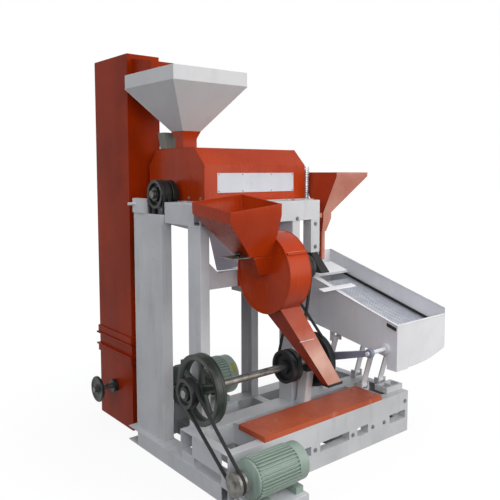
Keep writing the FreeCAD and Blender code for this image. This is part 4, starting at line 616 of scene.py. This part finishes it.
for mill_node in ("mill_casing", "mill_cover"):
    rounded_node(mill_node, "main_frame", orange_paint, 1.5)
chute_paint = painted_steel("chute_orange", "#AC350C", "#9C2C09", "#702506", gloss=0.34,
                            spread=0.5, chips=0.3, rust="#3A1A10", shine=0.16)
# Painted sheen with meal dust: the chute's front faces are paled, most of it below 0.56 m.
dust_and_sheen_front(chute_paint, "#F2CDBB", 0.72, 0.70, 0.56)
rounded_node("mill_chute", "main_frame", chute_paint, 1.5)
mouth_lip = bmesh.new()
block(mouth_lip, (513, -296, 390), (607, -292.5, 402))
block(mouth_lip, (513, -296, 390), (516.5, -250, 402))
block(mouth_lip, (603.5, -296, 390), (607, -250, 402))
piece_from("chute_mouth_lip", "main_frame", mouth_lip, rubber, 0.8)
chute_seam = bmesh.new()
weld(chute_seam, (329, -293.5, 640), (416, -293.5, 640), 2.2)
piece_from("chute_seam", "main_frame", chute_seam, guard_paint)
rounded_node("mill_hopper", "main_frame", orange_paint, 1.5)
drum_y = -190
drum_z = 951
drum_radius = 180
seam_rise = 99
drum_trim = bmesh.new()
for face_x, way in ((204, -1), (319, 1)):
    lathe(drum_trim, "x", (face_x, drum_y, drum_z),
          [(0, 172), (0, 181.5), (3 * way, 181.5), (4 * way, 180), (4 * way, 173),
           (3 * way, 172)], 72)
for seam_side in (-1, 1):
    seam_y = drum_y + seam_side * math.sqrt(drum_radius ** 2 - seam_rise ** 2)
    block(drum_trim, (206, seam_y - 9 if seam_side < 0 else seam_y - 2, 1045),
          (317, seam_y + 2 if seam_side < 0 else seam_y + 9, 1055))
piece_from("drum_trim", "main_frame", drum_trim, orange_paint, 0.8)
# Painted highlight: the drum's split line is drawn in pale orange where light catches its edge.
seam_highlight_paint = painted_steel("seam_highlight_orange", "#D27A55", "#BC5E38", "#8A3E1E", gloss=0.3,
                          spread=0.4, chips=0.4, rust="#5A3A28")
split_line = bmesh.new()
split_reach = math.sqrt((drum_radius + 1) ** 2 - (seam_rise + 5) ** 2)
weld(split_line, (206, drum_y - split_reach, 1055.5), (317, drum_y - split_reach, 1055.5), 1.8)
weld(split_line, (319.5, drum_y - split_reach, 1050), (319.5, drum_y + split_reach, 1050), 1.8)
piece_from("split_line", "main_frame", split_line, seam_highlight_paint)
rounded_node("mill_shaft", "mill_rotor", black_iron, 1.0)
rounded_node("turning_stone", "mill_rotor", emery, 2.0)
rounded_node("fixed_stone", "main_frame", emery, 2.0)
rounded_node("mill_bearing", "main_frame", black_iron, 2.0)
gate_steel = turned_metal("gate_sheet", "#8E8C88", "#5D574F", 0.42, 40)
rounded_node("gate_plate", "feed_gate", gate_steel, 0.8)
knob = bmesh.new()
lathe(knob, "z", (46, -214, 1036), [(0, 0.01), (0, 8), (6, 6), (10, 9), (14, 14), (20, 14),
                                    (22, 11), (22, 0.01)], 32)
knob_black = painted_steel("black_plastic", "#141414", "#1B1B1C", "#2C2A28", gloss=0.35,
                           chips=0.1)
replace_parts(piece_from("gate_knob_turned", "feed_gate", knob, knob_black),
            "gate_knob")


# Countershaft along the front.
# A bright shaft in a post bearing and a pedestal bearing carries a big five-spoked pulley in dark
# green, a small pulley outside it, black pulleys for mill and fan, and the sieve's eccentric.

counter_y = -75
counter_z = 453
counter_steel = turned_metal("countershaft_steel", "#8B8A86", "#55514A", 0.3)
rounded_node("countershaft", "lower_shaft", counter_steel, 1.0)
wheel = bmesh.new()
lathe(wheel, "x", (0, counter_y, counter_z),
      [(-76, 136), (-76, 154), (-74.5, 155), (-62, 155), (-60, 152.5), (-42, 152.5),
       (-40, 155), (-27.5, 155), (-26, 154), (-26, 136), (-30, 130), (-45, 127), (-57, 127),
       (-72, 130)], 96)
lathe(wheel, "x", (0, counter_y, counter_z),
      [(-76, 17.5), (-76, 30), (-72, 35), (-30, 35), (-26, 30), (-26, 17.5)], 48)
for spoke in range(5):
    turn = math.radians(72 * spoke + 18)
    out = Vector((0, math.cos(turn), math.sin(turn)))
    side = Vector((0, -math.sin(turn), math.cos(turn)))
    rings = []
    for reach, broad, deep in ((30, 22, 16), (50, 20, 14), (95, 18, 12), (118, 21, 12),
                               (135, 32, 14)):
        ring = []
        for k in range(12):
            angle = 2 * math.pi * k / 12
            ring.append(wheel.verts.new(
                at(-51, counter_y, counter_z) + out * (reach / 1000) +
                side * (broad * math.cos(angle) / 1000) +
                Vector((deep * math.sin(angle) / 1000, 0, 0))))
        rings.append(ring)
    skin(wheel, rings)
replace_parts(piece_from("flywheel_casting", "lower_shaft", wheel, dark_green,
                       0, 40), "flywheel_pulley")
for wheel_name, wheel_node, wheel_left, wheel_radius, wheel_width, wheel_hub in (
        ("input_pulley_casting", "input_pulley", -141, 64, 40, 30),
        ("mill_drive_casting", "mill_drive_pulley", 424, 80, 60, 32),
        ("fan_drive_casting", "fan_drive_pulley", 616, 135, 36, 32)):
    black_wheel = bmesh.new()
    grooved(black_wheel, wheel_left, counter_y, counter_z, wheel_radius, wheel_width, 1, 17.5,
            wheel_hub)
    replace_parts(piece_from(wheel_name, "lower_shaft", black_wheel, black_iron),
                wheel_node)
counter_blocks = rounded_node("countershaft_bearings", "main_frame", dark_green,
                              3.0)
# The right bearing's pedestal is frame enamel below the green casting.
pedestal_top = 0.405
counter_blocks.data.materials.append(frame_paint)
parted = bmesh.new()
parted.from_mesh(counter_blocks.data)
bmesh.ops.bisect_plane(parted, geom=parted.verts[:] + parted.edges[:] + parted.faces[:],
                       plane_co=(0, 0, pedestal_top), plane_no=(0, 0, 1))
parted.to_mesh(counter_blocks.data)
parted.free()
for side in counter_blocks.data.polygons:
    if side.center.z < pedestal_top and side.center.x > at(300, 0, 0).x:
        side.material_index = 1
hex_bolts("bearing_bolts", "main_frame", [(589, -45, 232, "+z"), (589, -12, 232, "+z"),
                                          (25, -12, 505, "-y"), (25, -12, 401, "-y")],
          bolt_steel, 8, 11, 6)


# Motors.
# Totally enclosed motors in grey-green enamel: cast barrel with long fins, dished ends, a fan cowl
# and feet, and on the main one a terminal box. Its rating plate spot is a bare yellowed patch.

motor_paint = painted_steel("motor_green", "#93A499", "#82938A", "#57645C", gloss=0.38,
                            spread=0.6, chips=0.3, rust="#4A4338")


def fins_around(bm, middle, reach, size, angles):
    """Straight fins along X, each at its angle around a barrel."""
    for angle in angles:
        turn = Matrix.Rotation(angle, 4, "X")
        out = Vector((0, math.cos(angle), math.sin(angle))) * reach
        bmesh.ops.create_cube(bm, size=1, matrix=Matrix.Translation(middle + out) @ turn @
                              Matrix.Diagonal((*size, 1)))


def motor_barrel(bm, left, length, y, z, radius, fins):
    """The barrel with end bells and fan cowl, and fins but for its underside."""
    core = radius - 12
    hollow = 66 if radius > 90 else 50
    lathe(bm, "x", (left, y, z),
          [(0, 14.2), (0, core * 0.42), (6, core * 0.5), (10, core * 0.9), (16, core + 6),
           (24, core + 6), (24, core), (length - 62, core), (length - 62, core + 7),
           (length - 54, core + 7), (length - 52, radius - 4), (length - 14, radius - 4),
           (length - 6, radius - 12), (length - 2, radius * 0.7), (length, radius * 0.6),
           (length, 0.01), (length - 12, 0.01), (length - 12, hollow), (12, hollow),
           (12, 14.2)], 72)
    angles = [2 * math.pi * fin / fins for fin in range(fins)]
    fins_around(bm, at(left + (length - 38) / 2, y, z), (core + 5) / 1000,
                ((length - 88) / 1000, 0.0145, 0.0048),
                [angle for angle in angles if math.sin(angle) >= -0.86])


motor_z = 307
barrel = bmesh.new()
motor_barrel(barrel, 100, 344, shaft_y, motor_z, 104, 40)
block(barrel, (160, 300, 185), (200, 460, 217))
block(barrel, (344, 300, 185), (384, 460, 217))
block(barrel, (227, 470, 309), (317, 532, 385))
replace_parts(piece_from("main_motor_barrel", "main_frame", barrel, motor_paint,
                       1.0, 40), "main_motor_housing")
front_barrel = bmesh.new()
motor_barrel(front_barrel, -84, 290, -420, 190, 84, 34)
block(front_barrel, (-44, -490, 88), (-4, -350, 116))
block(front_barrel, (126, -490, 88), (166, -350, 116))
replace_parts(piece_from("front_motor_barrel", "main_frame", front_barrel,
                       motor_paint, 1.0, 40), "front_motor_housing")
patch_yellow = painted_steel("plate_spot_yellow", "#A39A3C", "#8F8738", "#6B6A44", gloss=0.45)
spot = bmesh.new()
spot_radius = 101
spot_rings = []
for spot_x in (396, 403, 411, 419):
    spot_rings.append([spot.verts.new(at(spot_x, shaft_y + spot_radius * math.cos(angle),
                                         motor_z + spot_radius * math.sin(angle)))
                       for angle in [math.radians(a) for a in range(132, 163, 5)]])
for here, there in zip(spot_rings, spot_rings[1:]):
    for k in range(len(here) - 1):
        spot.faces.new((here[k], here[k + 1], there[k + 1], there[k]))
piece_from("bare_plate_spot", "main_frame", spot, patch_yellow)
rotor_steel = turned_metal("rotor_steel", "#7D7C78", "#4E4B46", 0.34)
rounded_node("main_motor_rotor", "main_rotor", rotor_steel, 0.8)
rounded_node("front_motor_rotor", "front_rotor", rotor_steel, 0.8)
rounded_node("motor_beds", "main_frame", frame_paint, 2.0)


# Husk fan behind the front right post.
# A small sheet-metal blower on a bracket behind the post: scroll case, straight outlet and a
# six-bladed runner, whose shaft a belt drives from the countershaft.

rounded_node("fan_casing", "main_frame", guard_paint, 1.2)
rounded_node("fan_impeller", "fan_rotor", rotor_steel, 0.6)


# Bucket elevator.
# A tall box leg of folded sheet in orange enamel, in a boot and a head part bolted together by
# angle flanges, with bearing bosses, a black hand wheel on the boot and a belt of cups inside.

leg_y = 865.5
boot_z = 205
head_z = 1800
leg_paint = painted_steel("leg_orange", "#A22F06", "#862405", "#5E1C04", gloss=0.32,
                          spread=0.2, chips=0.3, rust="#3A1A10", shine=0.05)
rounded_node("elevator_casing", "main_frame", leg_paint, 2.0)
rounded_node("elevator_bearings", "main_frame", black_iron, 2.0)
rounded_node("head_shaft", "elevator_head", shaft_steel, 1.0)
rounded_node("boot_shaft", "elevator_boot", shaft_steel, 1.0)
hand_wheel = bmesh.new()
lathe(hand_wheel, "x", (-96, leg_y, boot_z),
      [(-11, 15), (-11, 24), (-6, 27), (-4, 50), (-8, 58), (-8, 66), (-4, 70), (5, 70),
       (9, 66), (9, 58), (5, 50), (6, 27), (11, 24), (11, 15)], 56)
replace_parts(piece_from("boot_handwheel_casting", "elevator_boot", hand_wheel,
                       black_iron), "boot_handwheel")
rounded_node("bucket_belt", "main_frame", rubber, 0.8)
rounded_node("head_gear_motor", "main_frame", motor_paint, 3.0)
ribs = bmesh.new()
fins_around(ribs, at(399, leg_y, head_z), 0.051, (0.118, 0.012, 0.0034),
            [2 * math.pi * fin / 24 for fin in range(24)])
piece_from("gear_motor_fins", "main_frame", ribs, motor_paint, 0.8)
bands = bmesh.new()
for band_low, band_high in ((362, 398), (474, 512)):
    block(bands, (6, 669, band_low), (14, 1062, band_high))
    block(bands, (202, 669, band_low), (210, 1062, band_high))
    block(bands, (6, 667, band_low), (210, 675, band_high))
    block(bands, (6, 1056, band_low), (210, 1064, band_high))
piece_from("leg_flange_bands", "main_frame", bands, leg_paint, 3.0, 30, 3)
flange_bolts = [(bolt_x, 667, bolt_z, "-y") for bolt_z in (380, 493)
                for bolt_x in (40, 108, 176)]
hex_bolts("flange_bolts", "main_frame", flange_bolts, leg_paint, 5, 7, 4)


# Grading hopper on the right.
# A small orange sheet hopper on a bracket, narrowing to a pipe that drops onto the sieve.

grading_paint = painted_steel("grading_orange", "#A83A1C", "#9A3014", "#6E2A10", gloss=0.36,
                              spread=0.4, chips=0.25, rust="#3A1A10", shine=0.2)
# Painted sheen with meal dust: the grading hopper's front faces are paled over its full height.
dust_and_sheen_front(grading_paint, "#D3A18F", 0.72)
rounded_node("grading_hopper", "main_frame", grading_paint, 1.2)


# Rocking sieve.
# A long folded tray in pale grey paint with a perforated screen let into it. It rocks on leaning
# flat spring bars, pushed by the eccentric's flat rod.

sieve_paint = painted_steel("sieve_grey", "#DFE0E3", "#D3D4D8", "#B7B4B1", gloss=0.42,
                            spread=0.45, chips=0.3, rust="#6D6258")
rounded_node("sieve_tray", "sieve", sieve_paint, 1.5)
screen_steel = turned_metal("screen_sheet", "#D3D6DD", "#BFC3CD", 0.5, 700, 1)
# The round holes are drawn at a 12 mm pitch, coarser than the real screen's, so that they show.
screen = bmesh.new()
pitch = 12.0
hole_radius = 3.4
tray_low_y = -460
screen_low_z = 592.6
slope = (925 - 700) / 810
columns = int(380 / pitch)
rows = int(640 / pitch)
for row in range(rows):
    for column in range(columns):
        left = 999 - columns * pitch / 2 + column * pitch
        low = -455 + row * pitch
        rim = [(0, 0), (pitch / 2, 0), (pitch, 0), (pitch, pitch / 2), (pitch, pitch),
               (pitch / 2, pitch), (0, pitch), (0, pitch / 2)]
        outer = []
        inner = []
        for dx, dy in rim:
            x, y = left + dx, low + dy
            outer.append(screen.verts.new(at(x, y, screen_low_z + (y - tray_low_y) * slope)))
            reach = math.hypot(dx - pitch / 2, dy - pitch / 2)
            x = left + pitch / 2 + (dx - pitch / 2) * hole_radius / reach
            y = low + pitch / 2 + (dy - pitch / 2) * hole_radius / reach
            inner.append(screen.verts.new(at(x, y, screen_low_z + (y - tray_low_y) * slope)))
        for k in range(8):
            screen.faces.new((outer[k], outer[(k + 1) % 8], inner[(k + 1) % 8], inner[k]))
bmesh.ops.remove_doubles(screen, verts=screen.verts, dist=0.0001)
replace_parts(piece_from("perforated_screen", "sieve", screen, screen_steel),
            "sieve_screen")


def sloped_bar(bm, left, right, y_low, y_high, z_low, thickness, flare=0):
    """A flat bar along the tray, parallel with its edges; flare widens its high end."""
    corners = [at(x, y, z_low + (y - tray_low_y) * slope + lift) for lift in (0, thickness)
               for y, x in ((y_low, left), (y_low, right), (y_high, left),
                            (y_high, right + flare))]
    verts = [bm.verts.new(corner) for corner in corners]
    for face in ((0, 1, 3, 2), (4, 6, 7, 5), (0, 4, 5, 1), (2, 3, 7, 6), (0, 2, 6, 4),
                 (1, 5, 7, 3)):
        bm.faces.new([verts[i] for i in face])


edge_white = painted_steel("edge_white", "#EDEEF1", "#E2E3E7", "#BDBBB8", gloss=0.36,
                           spread=0.3, chips=0.2, rust="#8A8078")
folds = bmesh.new()
sloped_bar(folds, 800, 812, -460, 350, 667, 4)
sloped_bar(folds, 1186, 1196, -460, 350, 699, 4)
block(folds, (800, -464, 667), (1196, -452, 671))
sloped_bar(folds, 807, 822, -452, 330, 652, 3, 70)
piece_from("tray_folds", "sieve", folds, edge_white, 1.0)
# Painted shadow: the black strip along the far wall stands where the shadow line between the
# screen and the far wall falls. The short black strip near the front corner is drawn in the same
# rubber.
seal_and_shadow_strips = bmesh.new()
sloped_bar(seal_and_shadow_strips, 1180, 1190, -450, 300, 596, 12)
sloped_bar(seal_and_shadow_strips, 798, 803.5, -455, -400, 640, 16)
piece_from("screen_seal_and_shadow", "sieve", seal_and_shadow_strips, rubber, 1.5)
crossing = bmesh.new()
sloped_bar(crossing, 700, 948, -72, -40, 676, 5)
sloped_bar(crossing, 812, 1040, 78, 200, 694, 3)
piece_from("cover_plates", "sieve", crossing, edge_white, 1.0)
lip = bmesh.new()
folded_plate(lip, [(893, 497), (1190, 497), (1190, 494), (1150, 481), (1100, 468), (1050, 459),
                   (1000, 453), (950, 450), (893, 450)], -459.5, -456.5)
piece_from("end_lip", "sieve", lip, sieve_paint, 0.8)
for spring_node, spring_body in (("front_spring_bars", "front_springs"),
                                 ("rear_spring_bars", "rear_springs")):
    rounded_node(spring_node, spring_body, edge_white, 1.0)
rod_steel = painted_steel("rod_bar_grey", "#8B90A0", "#777C8B", "#55565E", gloss=0.4)
rounded_node("connecting_rod", "drive_rod", rod_steel, 1.5)


# Socket box on the base's right end.
# A low folded box in the frame's enamel with two open wells, welded on top of the base at its
# front right end.

rounded_node("socket_box", "main_frame", frame_paint, 2.0)
